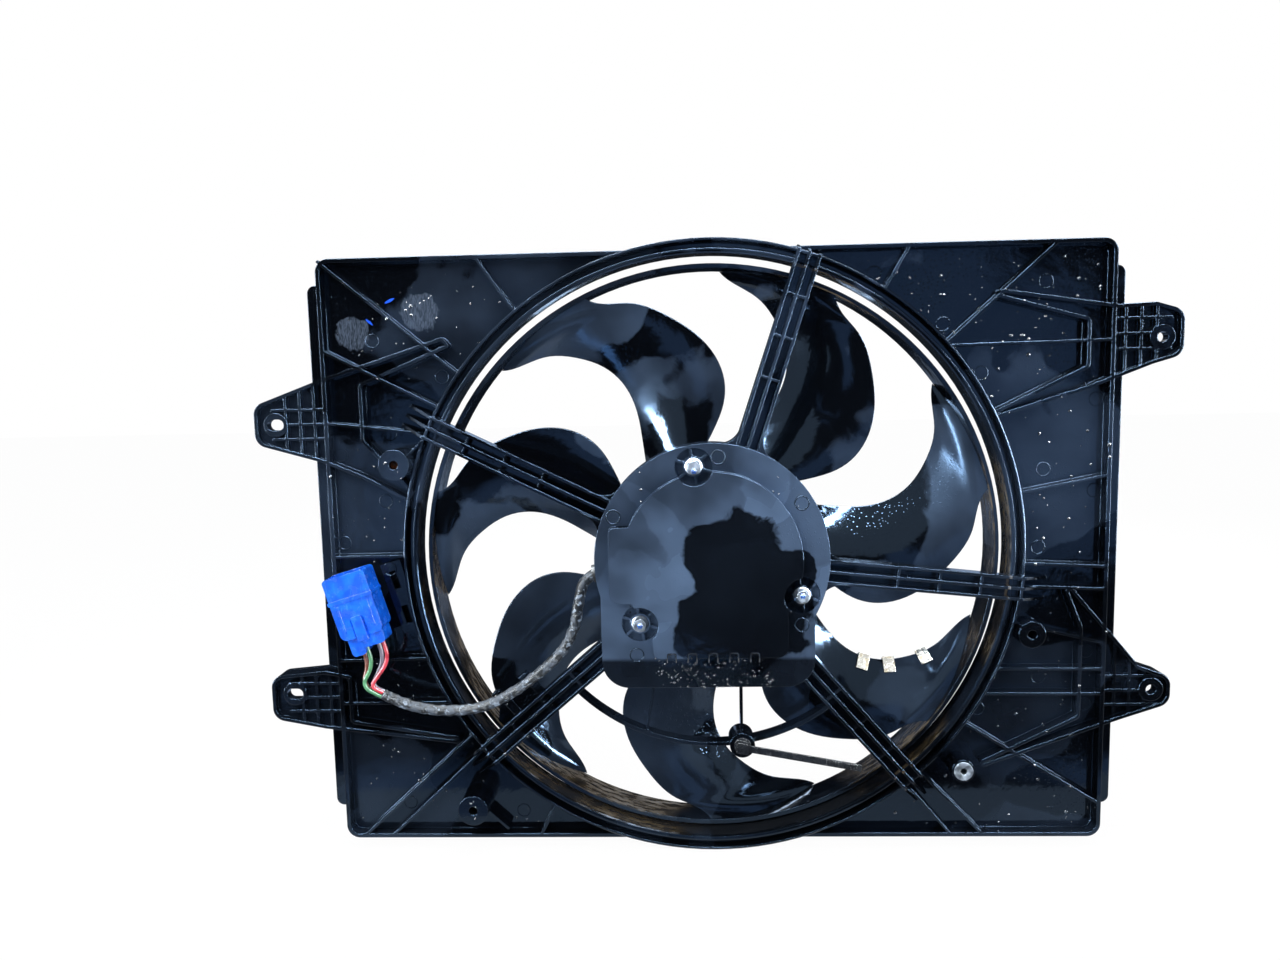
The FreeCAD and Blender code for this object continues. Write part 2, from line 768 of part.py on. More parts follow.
def connector_rail():
    """Slotted rail on the panel that the connector clips on."""
    place = connector_place()
    wide = size("connector_width")
    half = size("connector_long") / 2
    rear = size("connector_rear") + size("connector_deep")

    def turned_box(name, low, high, deep_from, deep_to):
        box = doc.addObject("Part::Box", name)
        box.Length = high[0] - low[0]
        box.Width = deep_to - deep_from
        box.Height = high[1] - low[1]
        box.Placement = place.multiply(Placement(Vector(low[0], deep_from, low[1]), Rotation()))
        return box

    tongue = turned_box("rail_tongue", (-6, -half + 12), (6, half - 10), rear + 0.3, 7)
    side = turned_box("rail_side", (wide / 2 + 4, -half + 2), (wide / 2 + 20, half - 4), -1, 2)
    legs = [turned_box("rail_leg_%d" % i, (wide / 2 + 4, z), (wide / 2 + 20, z + 3), -1, 7)
            for i, z in enumerate((-half + 2, -3, half - 7))]
    slots = [turned_box("rail_slot_%d" % i, (wide / 2 + 9, z), (wide / 2 + 14, z + 14), -3, 4)
             for i, z in enumerate((-half + 9, 6))]
    return [tongue, cut("rail_slotted", side, slots)] + legs


# Middle line of the taped lead, from the motor to the wires of the connector
LEAD_ROUTE = [
    (-79, -21, -9), (-93, -21, -12), (-98, -21, -30), (-101, -22, -50), (-110, -21.5, -68),
    (-128, -20.5, -85), (-148, -19.5, -100), (-170, -18, -112), (-193, -17, -116),
    (-218, -16, -115), (-238, -15.5, -109), (-250, -15, -103),
]


def lead_rod(name, radius, start, end):
    """Round bar along the first run of the lead, where it leaves the motor carrier."""
    first = Vector(*LEAD_ROUTE[0])
    run = Vector(*LEAD_ROUTE[1]) - first
    run.normalize()
    bar = doc.addObject("Part::Cylinder", name)
    bind(bar, "Radius", radius)
    bind(bar, "Height", "%s - (%s)" % (end, start))
    bar.Placement = Placement(first + run * start, Rotation(Vector(0, 0, 1), run))
    return bar


def lead_hooks():
    """Two hooks on the side of a strut that carry the lead."""
    made = []
    angle = math.radians(STRUT_ANGLES["c"])
    along = Vector(math.cos(angle), 0, math.sin(angle))
    aside = Vector(math.sin(angle), 0, -math.cos(angle))
    half = size("strut_width") / 2
    for i in (5, 6):
        middle = (Vector(*LEAD_ROUTE[i]) + Vector(*LEAD_ROUTE[i + 1])) / 2
        seat = middle.y + size("lead_radius") + size("rest_gap")
        root = along * middle.dot(along) + aside * (half - 1)
        tip = along * middle.dot(along) + aside * (middle.dot(aside) + size("lead_radius") + 3)
        lip = tip - aside * size("rib_thick")
        made.append(fin("hook_arm_%d" % i, (root.x, root.z), (tip.x, tip.z), "hook_width", seat, seat + 2.5))
        made.append(fin("hook_lip_%d" % i, (lip.x, lip.z), (tip.x, tip.z), "hook_width",
                        middle.y - 2, seat + 2))
    return made


def shroud():
    """The shroud moulding, kept as simple nodes so that each is open where the real one is."""
    beams = lead_hooks()
    for tag, angle in STRUT_ANGLES.items():
        beams += strut(tag, angle)
    beams = join("strut_beams", beams)
    ring_inside = rod("ring_inside", "ring_bore", "dome_rear - 1", "skirt_front")
    hub_space = carrier_blank("hub_space", 0, "dome_rear - 1", "skirt_front")
    cut("struts", common("strut_spans", beams, ring_inside), [hub_space])

    screws = [rod("screw_drill_%d" % i, "screw_radius + screw_play", "dome_rear", "carrier_front",
                  *polar(size("screw_circle"), angle))
              for i, angle in enumerate(SCREW_ANGLES, 1)]
    lead_hole = lead_rod("lead_drill", "grommet_radius", -4, 14)
    cut("motor_carrier", join("carrier_body", carrier()), screws + [lead_hole])

    spaces = [fin("strut_space_" + tag, polar(size("carrier_radius"), STRUT_ANGLES[tag]),
                  polar(size("ring_bore"), STRUT_ANGLES[tag]), "strut_width", "carrier_rear", "ring_front")
              for tag in ("c", "d")]
    tie_drill = rod("tie_drill", "tie_peg_radius", "tie_boss_rear - 1", "tie_boss_rear + 14", *tie_place())
    cut("arc_rib", join("arc_body", arc_pieces()), spaces + [hub_space, tie_drill])

    ear_solids, ear_holes = ears()
    pieces = [casing(), ring(), cut("strut_ends", beams, [ring_inside])] + flanges() + panel_ribs()
    body = join("shroud_body", pieces + bosses() + connector_rail() + ear_solids)
    bores = [rod("hose_drill_" + tag, "hose_boss_bore", "hose_boss_rear - 1", "hose_boss_rear + 18", x, z)
             for tag, (x, z) in HOSE_BOSSES.items()]
    bores.append(rod("insert_drill", "insert_radius", "insert_rear - 1", "insert_rear + 13", *INSERT_BOSS))
    whole = cut("shroud_whole", body, ear_holes + bores)
    ring_zone = join("ring_zone", [
        rod("ring_zone_rear", "ring_outer", "dome_rear", "panel_rear + panel_thick"),
        rod("ring_zone_front", "ring_bore + ring_wall", "panel_rear", "ring_front + 1")])
    common("shroud_ring", whole, ring_zone)
    around = cut("shroud_around", whole, [ring_zone])
    wall_zone = rod("wall_zone", "plate_left + plate_right", "panel_rear + panel_thick", "skirt_front + 1")
    common("shroud_walls", around, wall_zone)
    cut("shroud", around, [wall_zone])


# Fan

# Sweep of the blade edges from hub to band, seen from the engine side: angles of the
# control points of a smooth curve, measured from the blade's own mark on the hub.
TRAILING_SWEEP = (3, -18.5, 2.5, 26)
LEADING_SWEEP = (37, 19, 24, 49.5)


def sweep(angles, share):
    """Angle of a blade edge at a share of the way from the hub to the band."""
    last = len(angles) - 1
    return sum(math.comb(last, i) * (1 - share) ** (last - i) * share ** i * angle
               for i, angle in enumerate(angles))


def blade_point(radius, part):
    """Point in the middle of the first blade; part runs from its trailing to its leading edge."""
    share = (radius - size("hub_radius")) / (size("band_outer") - size("hub_radius"))
    trailing = sweep(TRAILING_SWEEP, share)
    leading = sweep(LEADING_SWEEP, share)
    rear = size("fan_rear") + 1.5
    front = size("fan_front") - 4
    x, z = polar(radius, 90 + trailing + (leading - trailing) * part)
    camber = size("blade_camber") * math.sin(math.pi * part)
    return Vector(x, rear + (front - rear) * part - camber, z)


def blade_shape():
    """One swept blade: two smooth faces, thin towards both edges, closed by ruled edges."""
    thick = size("blade_thick")
    root = size("hub_radius") - 1.5
    tip = size("band_outer") - size("band_wall") + 1.2
    stations = 8
    across = 6
    faces = []
    for side in (-0.5, 0.5):
        grid = []
        for station in range(stations + 1):
            radius = root + (tip - root) * station / stations
            chord = blade_point(radius, 1) - blade_point(radius, 0)
            line = []
            for i in range(across + 1):
                part = i / across
                middle = blade_point(radius, part)
                outward = Vector(middle.x, 0, middle.z)
                through = outward.cross(chord)
                through.normalize()
                body = thick * (0.45 + 0.55 * math.sin(math.pi * part) ** 0.6)
                line.append(middle + through * (side * body))
            grid.append(line)
        surface = Part.BSplineSurface()
        surface.interpolate(grid)
        faces.append(surface)
    skins = [surface.toShape() for surface in faces]
    low, high = faces
    bounds = low.bounds()
    sides = []
    for fixed, at in (("u", bounds[0]), ("u", bounds[1]), ("v", bounds[2]), ("v", bounds[3])):
        curves = [(s.uIso(at) if fixed == "u" else s.vIso(at)).toShape() for s in (low, high)]
        sides.append(Part.makeRuledSurface(*curves))
    shell = Part.makeShell(skins + sides)
    shell.sewShape(0.01)
    solid = Part.makeSolid(shell)
    if solid.Volume < 0:
        solid.reverse()
    return solid


def fan_hub():
    """Hub cup over the motor, dished down to the nut, with ribs and spokes inside."""
    hub = size("hub_radius")
    wall = size("hub_wall")
    rear = size("hub_rear")
    front = size("hub_front")
    bore = size("shaft_radius")
    boss_rear = size("hub_boss_rear")
    nut_face = size("shaft_front") - size("nut_tall") - 1.5
    dish = size("dish_radius")
    lean = size("dish_lean")
    shoulder = size("hub_round")
    cup = turned("hub_cup", [(bore, boss_rear), (size("hub_boss"), boss_rear),
                             (size("hub_boss"), nut_face - wall), (dish + 1, nut_face - wall),
                             (dish + lean + 1, front - wall), (hub - shoulder, front - wall),
                             (hub - wall, front - shoulder), (hub - wall, rear), (hub, rear),
                             (hub, front - shoulder), (hub - shoulder * 0.3, front - shoulder * 0.3),
                             (hub - shoulder, front), (dish + lean, front), (dish, nut_face),
                             (bore, nut_face)])
    stiffeners = []
    ribs = int(size("hub_ribs"))
    for i in range(ribs):
        angle = 360.0 / ribs * i
        stiffeners.append(fin("hub_rib_%d" % i, polar(size("can_radius") + 6, angle),
                          polar(hub - wall / 2, angle), "rib_thick", "hub_rear + 12", "hub_front - 5"))
        stiffeners.append(fin("hub_spoke_%d" % i, polar(size("hub_boss") - 1, angle),
                          polar(size("can_radius") + 6.5, angle), "rib_thick",
                          "can_front + 7", "hub_front - 4"))
    join("fan_hub", [cup] + stiffeners, refine=False)


def fan_blades():
    """Seven swept blades between the hub and the band."""
    shape = blade_shape()
    count = int(size("blade_count"))
    blades = []
    for i in range(count):
        blade = shape_node("blade_%d" % (i + 1), shape)
        blade.Placement = Placement(Vector(), Rotation(AXIS_Y, -360.0 / count * i))
        blades.append(blade)
    whole = join("blades_whole", blades, refine=False)
    reach = rod("blade_reach", "band_outer - band_wall", "hub_rear - 5", "hub_front + 5")
    root = rod("blade_root", "hub_radius", "hub_rear - 5", "hub_front + 5")
    cut("fan_blades", common("blades_in_band", whole, reach), [root])


def fan_band():
    """Outer band round the blade tips, flared towards the radiator."""
    inner = size("band_outer") - size("band_wall")
    outer = size("band_outer")
    rear = size("fan_rear")
    front = size("fan_front")
    turned("fan_band", [(inner, rear), (outer + 0.8, rear), (outer + 0.8, rear + 2), (outer, rear + 3),
                        (outer, front - 6), (outer + 4, front), (inner + 4, front), (inner, front - 6)])


def balance_clips():
    """Three bent steel clips pushed over one blade's leading edge."""
    deep = size("clip_depth")
    sheet_thick = size("clip_sheet")
    gap = (size("blade_thick") + 0.5) / 2
    skin = gap + sheet_thick
    bent = [(1.5, -skin), (1.5, skin), (-deep, skin), (-deep, gap), (0.6, gap), (0.6, -gap),
            (-deep, -gap), (-deep, -skin)]
    blade_turn = Rotation(AXIS_Y, -4 * 360.0 / size("blade_count"))
    clips = []
    for i, radius in enumerate((150, 167, 186), 1):
        at = blade_point(radius, 1)
        along = blade_point(radius + 4, 1) - blade_point(radius - 4, 1)
        along.normalize()
        out = at - blade_point(radius, 0.85)
        out = out - along * out.dot(along)
        out.normalize()
        sketch = doc.addObject("Sketcher::SketchObject", "clip_profile_%d" % i)
        sketch.addGeometry(rounded(bent, 0))
        clip = doc.addObject("Part::Extrusion", "clip_%d" % i)
        clip.Base = sketch
        clip.Dir = Vector(0, 0, 1)
        clip.DirMode = "Custom"
        clip.Solid = True
        bind(clip, "LengthFwd", "clip_width")
        turn = Rotation(out, along.cross(out), along, "ZXY")
        start = at - along * (size("clip_width") / 2)
        clip.Placement = Placement(blade_turn.multVec(start), blade_turn.multiply(turn))
        clips.append(clip)
    group = doc.addObject("Part::Compound", "balance_clips")
    group.Links = clips
    return group


# Motor


def motor_pieces():
    """Motor from its end plate at the rear to the nut on its shaft at the front."""
    seat = size("motor_seat")
    plate = size("plate_thick")
    can = size("can_radius")
    wall = size("can_wall")
    can_rear = seat + plate
    front = size("can_front")
    bearing = size("bearing_outer")
    wide = size("bearing_width")
    sleeve = size("bearing_wall")
    rear_at = size("rear_bearing_rear")
    front_at = size("front_bearing_rear")
    shaft = size("shaft_radius")

    end_plate = turned("end_plate_disc", [
        (shaft + 1.5, rear_at - sleeve), (bearing + sleeve, rear_at - sleeve),
        (bearing + sleeve, seat), (can + 4, seat), (can + 4, can_rear), (bearing, can_rear),
        (bearing, rear_at), (shaft + 1.5, rear_at)])
    pads = []
    drills = []
    for i, angle in enumerate(SCREW_ANGLES, 1):
        x, z = polar(size("screw_circle"), angle)
        pads.append(rod("ear_pad_%d" % i, "ear_pad", "motor_seat", "motor_seat + plate_thick", x, z))
        pads.append(fin("ear_neck_%d" % i, polar(can, angle), (x, z), "ear_neck", "motor_seat",
                        "motor_seat + plate_thick"))
        pads.append(rod("ear_nut_%d" % i, "screw_radius + 2.5", "motor_seat",
                        "motor_seat + plate_thick + 4.5", x, z))
        drills.append(rod("ear_drill_%d" % i, "screw_radius + screw_play", "motor_seat - 1",
                          "motor_seat + plate_thick + 6", x, z))
    cut("motor_end_plate", join("end_plate_blank", [end_plate] + pads), drills)

    turned("motor_can", [
        (can - wall, can_rear), (can, can_rear), (can, front), (bearing + sleeve, front),
        (bearing + sleeve, front_at + wide + 0.5), (shaft + 1.5, front_at + wide + 0.5),
        (shaft + 1.5, front_at + wide), (bearing, front_at + wide), (bearing, front_at),
        (bearing + sleeve, front_at), (bearing + sleeve, front - wall),
        (can - wall, front - wall)], [0, 0, 5, 0, 0, 0, 0, 0, 0, 0, 0, 3])

    race = shaft + size("shaft_play")
    for name, at in (("rear_bearing", rear_at), ("front_bearing", front_at)):
        turned(name, [(race, at), (shaft + 2, at), (shaft + 2, at + 0.6), (bearing - 2, at + 0.6),
                      (bearing - 2, at), (bearing, at), (bearing, at + wide), (bearing - 2, at + wide),
                      (bearing - 2, at + wide - 0.6), (shaft + 2, at + wide - 0.6),
                      (shaft + 2, at + wide), (race, at + wide)])

    inner = can - wall - size("magnet_thick")
    magnet = [Vector(*polar(inner, a), 0) for a in (-33, 0, 33)]
    back = [Vector(*polar(can - wall, a), 0) for a in (33, 0, -33)]
    arcs = []
    for i in range(4):
        edges = [Part.Arc(*magnet), Part.LineSegment(magnet[2], back[0]), Part.Arc(*back),
                 Part.LineSegment(back[2], magnet[0])]
        arc = slab("magnet_%d" % (i + 1), edges, "stack_rear - 2", "stack_front + 1")
        arc.Placement = Placement(Vector(), Rotation(AXIS_Y, 90 * i + 45))
        arcs.append(arc)
    magnets = doc.addObject("Part::Compound", "magnets")
    magnets.Links = arcs

    stack_radius = inner - size("air_gap")
    stack_blank = rod("stack_blank", stack_radius, "stack_rear", "stack_front")
    slots = [rod("stack_bore", "shaft_radius", "stack_rear - 1", "stack_front + 1")]
    for i in range(12):
        slots.append(fin("stack_slot_%d" % i, polar(stack_radius - 3, 30 * i),
                         polar(stack_radius + 2, 30 * i), "rib_thick", "stack_rear - 1", "stack_front + 1"))
    cut("armature_stack", stack_blank, slots)

    outer = stack_radius - 4
    for name, rear, face in (("windings_rear", size("winding_rear"), size("stack_rear")),
                             ("windings_front", size("stack_front"), size("winding_front"))):
        turned(name, [(shaft + 11, rear), (outer, rear), (outer, face), (shaft + 11, face)],
               [0, 1.5, 0, 0])

    drum = size("commutator_radius")
    drum_rear = size("commutator_rear")
    turned("commutator", [(shaft, drum_rear), (drum, drum_rear), (drum, size("winding_rear") - 0.8),
                          (drum + 1.5, size("winding_rear") - 0.8), (drum + 1.5, size("winding_rear")),
                          (drum + 1.5, size("stack_rear")), (shaft, size("stack_rear"))])

    card = turned("brush_card_disc", [(bearing + sleeve + 2, can_rear), (can - wall - 1, can_rear),
                                      (can - wall - 1, can_rear + size("card_thick")),
                                      (bearing + sleeve + 2, can_rear + size("card_thick"))])
    side = size("brush_side")
    long = size("brush_length")
    card_front = can_rear + size("card_thick")
    holders = []
    sockets = []
    brushes = []
    for i in range(4):
        turn = Rotation(AXIS_Y, 90 * i + 45)

        def block(name, x0, x1, y0, y1, half):
            box = doc.addObject("Part::Box", name)
            box.Length = x1 - x0
            box.Width = y1 - y0
            box.Height = 2 * half
            box.Placement = Placement(turn.multVec(Vector(x0, y0, -half)), turn)
            return box

        holders.append(block("holder_%d" % i, drum + 4, drum + long + 6, card_front - 0.5,
                             card_front + side + 0.2, side / 2 + 1.5))
        sockets.append(block("holder_slot_%d" % i, drum + 3, drum + long + 5, card_front,
                             card_front + side + 1, side / 2))
        brushes.append(block("brush_%d" % i, drum + size("rest_gap"), drum + long, card_front,
                             card_front + side - 0.2, side / 2))
    cut("brush_card", join("brush_card_blank", [card] + holders), sockets)
    group = doc.addObject("Part::Compound", "brushes")
    group.Links = brushes

    turned("shaft", [(0, size("shaft_rear")), (shaft - 0.6, size("shaft_rear")),
                     (shaft, size("shaft_rear") + 0.6), (shaft, size("shaft_front") - 0.8),
                     (shaft - 0.8, size("shaft_front")), (0, size("shaft_front"))])
    washer = front_at + wide + 1
    turned("drive_washer", [(shaft, washer), (shaft + 2.5, washer),
                            (shaft + 2.5, size("hub_boss_rear")), (shaft, size("hub_boss_rear"))])
    nut_face = size("shaft_front") - size("nut_tall") - 1.5
    corner = size("nut_flats") / math.sqrt(3)
    hexagon = [polar(corner, 60 * i + 30) for i in range(6)]
    blank = slab("nut_blank", rounded(hexagon, 0), nut_face, nut_face + size("nut_tall"))
    collar = rod("nut_collar", corner + 1, nut_face, nut_face + 1.2)
    cut("fan_nut", join("nut_body", [blank, collar]), [rod("nut_bore", "shaft_radius", nut_face - 1, "shaft_front + 1")])


def motor_screws():
    """Flanged hexagon screws that hold the motor to the carrier."""
    made = []
    seat = size("carrier_rear") - 1
    corner = size("head_flats") / math.sqrt(3)
    for i, angle in enumerate(SCREW_ANGLES, 1):
        x, z = polar(size("screw_circle"), angle)
        hexagon = [(x + p[0], z + p[1]) for p in [polar(corner, 60 * k + 15) for k in range(6)]]
        head = slab("screw_head_%d" % i, rounded(hexagon, 0), seat - size("head_tall") - 1.2, seat - 0.6)
        dish = turned("screw_flange_%d" % i, [(0, seat - size("flange_tall")), (size("head_radius") - 1,
                      seat - size("flange_tall")), (size("head_radius"), seat - 0.5),
                      (size("head_radius"), seat), (0, seat)], 0, x, z)
        shank = rod("screw_shank_%d" % i, "screw_radius", seat - 0.5, seat + size("screw_length"), x, z)
        made.append(join("screw_%d" % i, [head, dish, shank]))
    group = doc.addObject("Part::Compound", "motor_screws")
    group.Links = made


def threaded_insert():
    """Steel insert pressed into its boss."""
    x, z = INSERT_BOSS
    rear = size("insert_rear")
    outer = size("insert_radius")
    bore = size("insert_bore")
    turned("threaded_insert", [(bore, rear), (outer + 1, rear), (outer + 1, rear + 0.8),
                               (outer, rear + 0.8), (outer, rear + 12.8), (bore, rear + 12.8)],
           0, x, z)


def hose_screw():
    """Screw left in the upper hose boss, its head down inside the bore."""
    x, z = HOSE_BOSSES["upper"]
    rear = size("hose_boss_rear")
    bore = size("hose_boss_bore")
    turned("hose_screw", [(0, rear + 5), (bore - 0.8, rear + 3), (bore, rear + 3.6),
                          (bore, rear + 17), (bore - 1, rear + 18), (0, rear + 18)], 0, x, z)


# Connector, lead and cable tie


def connector():
    """Connector housing with its socket, its four wire entries and the terminals inside."""
    place = connector_place()
    wide = size("connector_width") / 2
    half = size("connector_long") / 2
    rear = size("connector_rear")
    deep = size("connector_deep")
    wall = size("connector_wall")

    def pad(name, points, radii, y0, y1):
        solid = slab(name, rounded(points, radii), y0, y1)
        solid.Placement = place
        return solid

    def box(name, x0, x1, y0, y1, z0, z1):
        solid = doc.addObject("Part::Box", name)
        solid.Length = x1 - x0
        solid.Width = y1 - y0
        solid.Height = z1 - z0
        solid.Placement = place.multiply(Placement(Vector(x0, y0, z0), Rotation()))
        return solid

    def hole(name, x, y, radius, z0, z1):
        solid = doc.addObject("Part::Cylinder", name)
        solid.Radius = radius
        solid.Height = z1 - z0
        solid.Placement = place.multiply(Placement(Vector(x, y, z0), Rotation()))
        return solid

    body = pad("connector_body", [(-wide, -half + 14), (wide, -half + 14), (wide, half), (-wide, half)],
               [5, 5, 2.5, 2.5], rear, rear + deep)
    left_leg = pad("connector_leg", [(-wide + 3, -half), (-wide + 14, -half), (-wide + 14, -half + 18),
                                     (-wide + 3, -half + 18)], [3, 3, 0, 0], rear + 3, rear + deep - 3)
    right_leg = pad("connector_shoulder", [(-wide + 12, -half + 5), (wide - 2, -half + 5),
                                           (wide - 2, -half + 18), (-wide + 12, -half + 18)],
                    [2, 3, 0, 0], rear + 2, rear + deep - 2)
    collar = pad("connector_collar", [(-wide - 0.8, half - 20), (wide + 0.8, half - 20),
                                      (wide + 0.8, half - 17), (-wide - 0.8, half - 17)], 0.8,
                 rear - 0.8, rear + deep)
    ridges = [box("connector_ridge_%d" % i, x - 0.8, x + 0.8, rear - 1, rear + 1, -half + 20, half - 22)
              for i, x in enumerate((-wide + 5, wide - 5))]
    latch = box("connector_latch", -4, 4, rear - 1.8, rear + 1, -half + 10, -half + 30)
    blank = join("connector_blank", [body, left_leg, right_leg, collar, latch] + ridges)
    tools = [box("connector_socket", wall - wide, wide - wall, rear + wall, rear + deep - wall,
                 half - size("socket_deep"), half + 1),
             box("connector_latch_gap", -6, 6, rear - 3, rear + 1.5, -half + 4, -half + 11),
             box("latch_slot_left", -5.4, -4, rear - 3, rear + 1.2, -half + 4, -half + 28),
             box("latch_slot_right", 4, 5.4, rear - 3, rear + 1.2, -half + 4, -half + 28)]
    middle = rear + deep / 2
    entries = ((-9, middle + 3), (-3, middle - 3), (4, middle + 3), (10, middle - 3))
    floor = half - size("socket_deep")
    for i, (x, y) in enumerate(entries):
        tools.append(hole("wire_entry_%d" % i, x, y, size("wire_radius"), -half - 1, floor + 1))
    cut("connector_housing", blank, tools)

    blades = []
    for i, (x, y) in enumerate(entries):
        blade = box("terminal_%d" % i, x - 1.4, x + 1.4, y - 0.4, y + 0.4, floor - 1, half - 6)
        keep = hole("terminal_keep_%d" % i, x, y, size("wire_radius"), 10 - half, floor)
        barrel = join("terminal_body_%d" % i, [keep, blade])
        blades.append(barrel)
    group = doc.addObject("Part::Compound", "terminals")
    group.Links = blades
    return place, entries, -half


def lead(place, entries, foot):
    """Four wires from the connector and the taped lead along the strut to the motor."""
    bends = []
    shape_node("lead_sleeve", tube_along(LEAD_ROUTE, size("lead_radius"), bends))
    tail = Vector(*LEAD_ROUTE[-1]) - Vector(*LEAD_ROUTE[-2])
    tail.normalize()
    end = Vector(*LEAD_ROUTE[-1]) + tail * size("rest_gap")
    across = tail.cross(AXIS_Y)
    across.normalize()
    apart = size("wire_radius") + 0.1
    colours = ("brown", "green", "violet", "red")
    offsets = ((apart, apart), (apart, -apart), (-apart, apart), (-apart, -apart))
    for name, (x, y), (side, deep) in zip(colours, entries, offsets):
        inside = place.multVec(Vector(x, y, foot + 10))
        below = place.multVec(Vector(x, y, foot - 10))
        finish = end + across * side + AXIS_Y * deep
        corner = finish + tail * (14 + 2 * side)
        shape_node("wire_" + name, tube_along([inside, below, corner, finish], size("wire_radius"), bends))
    print("tube bend radii", [round(b, 1) for b in bends])
    blank = lead_rod("grommet_body", "grommet_radius", 0, "grommet_length")
    cut("grommet", blank, [lead_rod("grommet_bore", "lead_radius", -2, 12)])


def cable_tie():
    """Tie with a peg in the round boss, a head and a toothed strap."""
    x, z = tie_place()
    rear = size("tie_boss_rear")
    wide = size("tie_width")
    thick = size("tie_thick")
    peg = rod("tie_peg", "tie_peg_radius", rear - 1, rear + 12, x, z)
    disc = rod("tie_disc", 6.2, rear - 1.6, rear, x, z)
    turn = Rotation(AXIS_Y, 10.5)
    head = doc.addObject("Part::Box", "tie_head")
    head.Length = 9
    head.Width = 5.5
    head.Height = wide + 3
    head.Placement = Placement(Vector(x, rear - 6.8, z) + turn.multVec(Vector(-4.5, 0, -(wide + 3) / 2)), turn)
    strap = doc.addObject("Part::Box", "tie_strap")
    bind(strap, "Length", "tie_length")
    bind(strap, "Width", "tie_thick")
    bind(strap, "Height", "tie_width")
    strap.Placement = Placement(Vector(x, rear - 5, z) + turn.multVec(Vector(2, 0, -wide / 2)), turn)
    teeth = []
    for i in range(12):
        tooth = doc.addObject("Part::Box", "tie_tooth_%d" % i)
        tooth.Length = 1
        tooth.Width = thick + 0.5
        tooth.Height = wide - 1
        at = Vector(x, rear - 5.5, z) + turn.multVec(Vector(62 + 2 * i, 0, 0.5 - wide / 2))
        tooth.Placement = Placement(at, turn)
        teeth.append(tooth)
    join("cable_tie", [peg, disc, head, strap] + teeth)


shroud()
fan_hub()
fan_blades()
fan_band()
balance_clips()
motor_pieces()
motor_screws()
threaded_insert()
hose_screw()
lead(*connector())
cable_tie()
doc.recompute()

NODES = (
    "shroud", "shroud_ring", "shroud_walls", "struts", "arc_rib", "motor_carrier", "fan_hub", "fan_blades", "fan_band",
    "balance_clips", "motor_end_plate", "motor_can", "rear_bearing", "front_bearing",
    "magnets", "armature_stack", "windings_rear", "windings_front", "commutator",
    "brush_card", "brushes", "shaft", "drive_washer", "fan_nut", "motor_screws",
    "threaded_insert", "hose_screw", "connector_housing", "terminals", "lead_sleeve",
    "wire_brown", "wire_green", "wire_violet", "wire_red", "grommet", "cable_tie",
)

failed = [thing.Name for thing in doc.Objects if {"Invalid", "Error"} & set(thing.State)]
if failed:
    raise RuntimeError("objects that failed: " + ", ".join(failed))

os.makedirs("parts", exist_ok=True)
for name in NODES:
    node = doc.getObject(name)
    node.Label = name
    shape = node.Shape
    if shape.isNull() or not shape.isValid():
        raise RuntimeError("shape of %s is not valid" % name)
    if not shape.Solids:
        raise RuntimeError("%s holds no solid" % name)
    shape.exportStep("parts/%s.step" % name)
    box = shape.BoundBox
    print("%-18s %2d solids %10.0f mm3  X %.1f..%.1f  Y %.1f..%.1f  Z %.1f..%.1f" % (
        name, len(shape.Solids), shape.Volume, box.XMin, box.XMax, box.YMin, box.YMax,
        box.ZMin, box.ZMax))
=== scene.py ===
import json
import math
import random

import bpy
from mathutils import Matrix, Vector, noise
from mathutils.bvhtree import BVHTree


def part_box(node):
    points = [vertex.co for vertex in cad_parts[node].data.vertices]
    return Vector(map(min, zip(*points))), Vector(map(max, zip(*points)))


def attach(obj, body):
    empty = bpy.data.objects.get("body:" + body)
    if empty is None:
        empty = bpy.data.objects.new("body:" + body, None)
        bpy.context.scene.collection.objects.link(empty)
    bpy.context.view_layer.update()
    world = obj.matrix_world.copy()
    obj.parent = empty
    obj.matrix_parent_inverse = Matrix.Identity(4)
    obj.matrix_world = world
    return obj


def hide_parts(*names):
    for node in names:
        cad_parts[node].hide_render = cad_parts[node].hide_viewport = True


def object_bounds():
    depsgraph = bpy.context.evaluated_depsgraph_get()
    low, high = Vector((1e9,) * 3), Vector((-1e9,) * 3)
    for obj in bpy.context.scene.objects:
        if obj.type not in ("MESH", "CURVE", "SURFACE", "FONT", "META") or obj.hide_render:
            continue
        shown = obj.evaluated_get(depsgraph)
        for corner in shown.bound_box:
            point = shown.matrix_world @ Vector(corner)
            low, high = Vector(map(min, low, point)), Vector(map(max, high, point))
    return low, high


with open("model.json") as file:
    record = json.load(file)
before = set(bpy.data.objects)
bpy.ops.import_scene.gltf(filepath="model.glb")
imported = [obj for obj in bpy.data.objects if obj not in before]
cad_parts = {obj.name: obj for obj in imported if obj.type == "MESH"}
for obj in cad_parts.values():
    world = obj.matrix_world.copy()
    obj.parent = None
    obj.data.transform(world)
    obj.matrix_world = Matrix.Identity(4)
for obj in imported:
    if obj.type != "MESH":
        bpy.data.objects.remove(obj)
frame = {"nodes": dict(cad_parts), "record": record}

# Radiator cooling fan, seen from the engine side. Lengths are in metres.
# X points right, Z up, and Y runs along the fan axis towards the radiator.

CAD_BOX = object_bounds()
MM = 0.001

# Camera: the photograph's frame and viewing angle
PHOTO_WIDTH = 1280
PHOTO_HEIGHT = 960
FOCAL_PIXELS = 960
SENSOR_MM = 36
CAMERA_AT = Vector((-0.0214, -0.7140, 0.1360))
CAMERA_RIGHT = Vector((0.9990, 0.0400, -0.0222))
CAMERA_BACK = Vector((0.0422, -0.9929, 0.1115))

# Depths of the faces that small details sit on
PANEL_FACE = 6 * MM
CARRIER_FACE = -32 * MM
DOME_FACE = -40 * MM


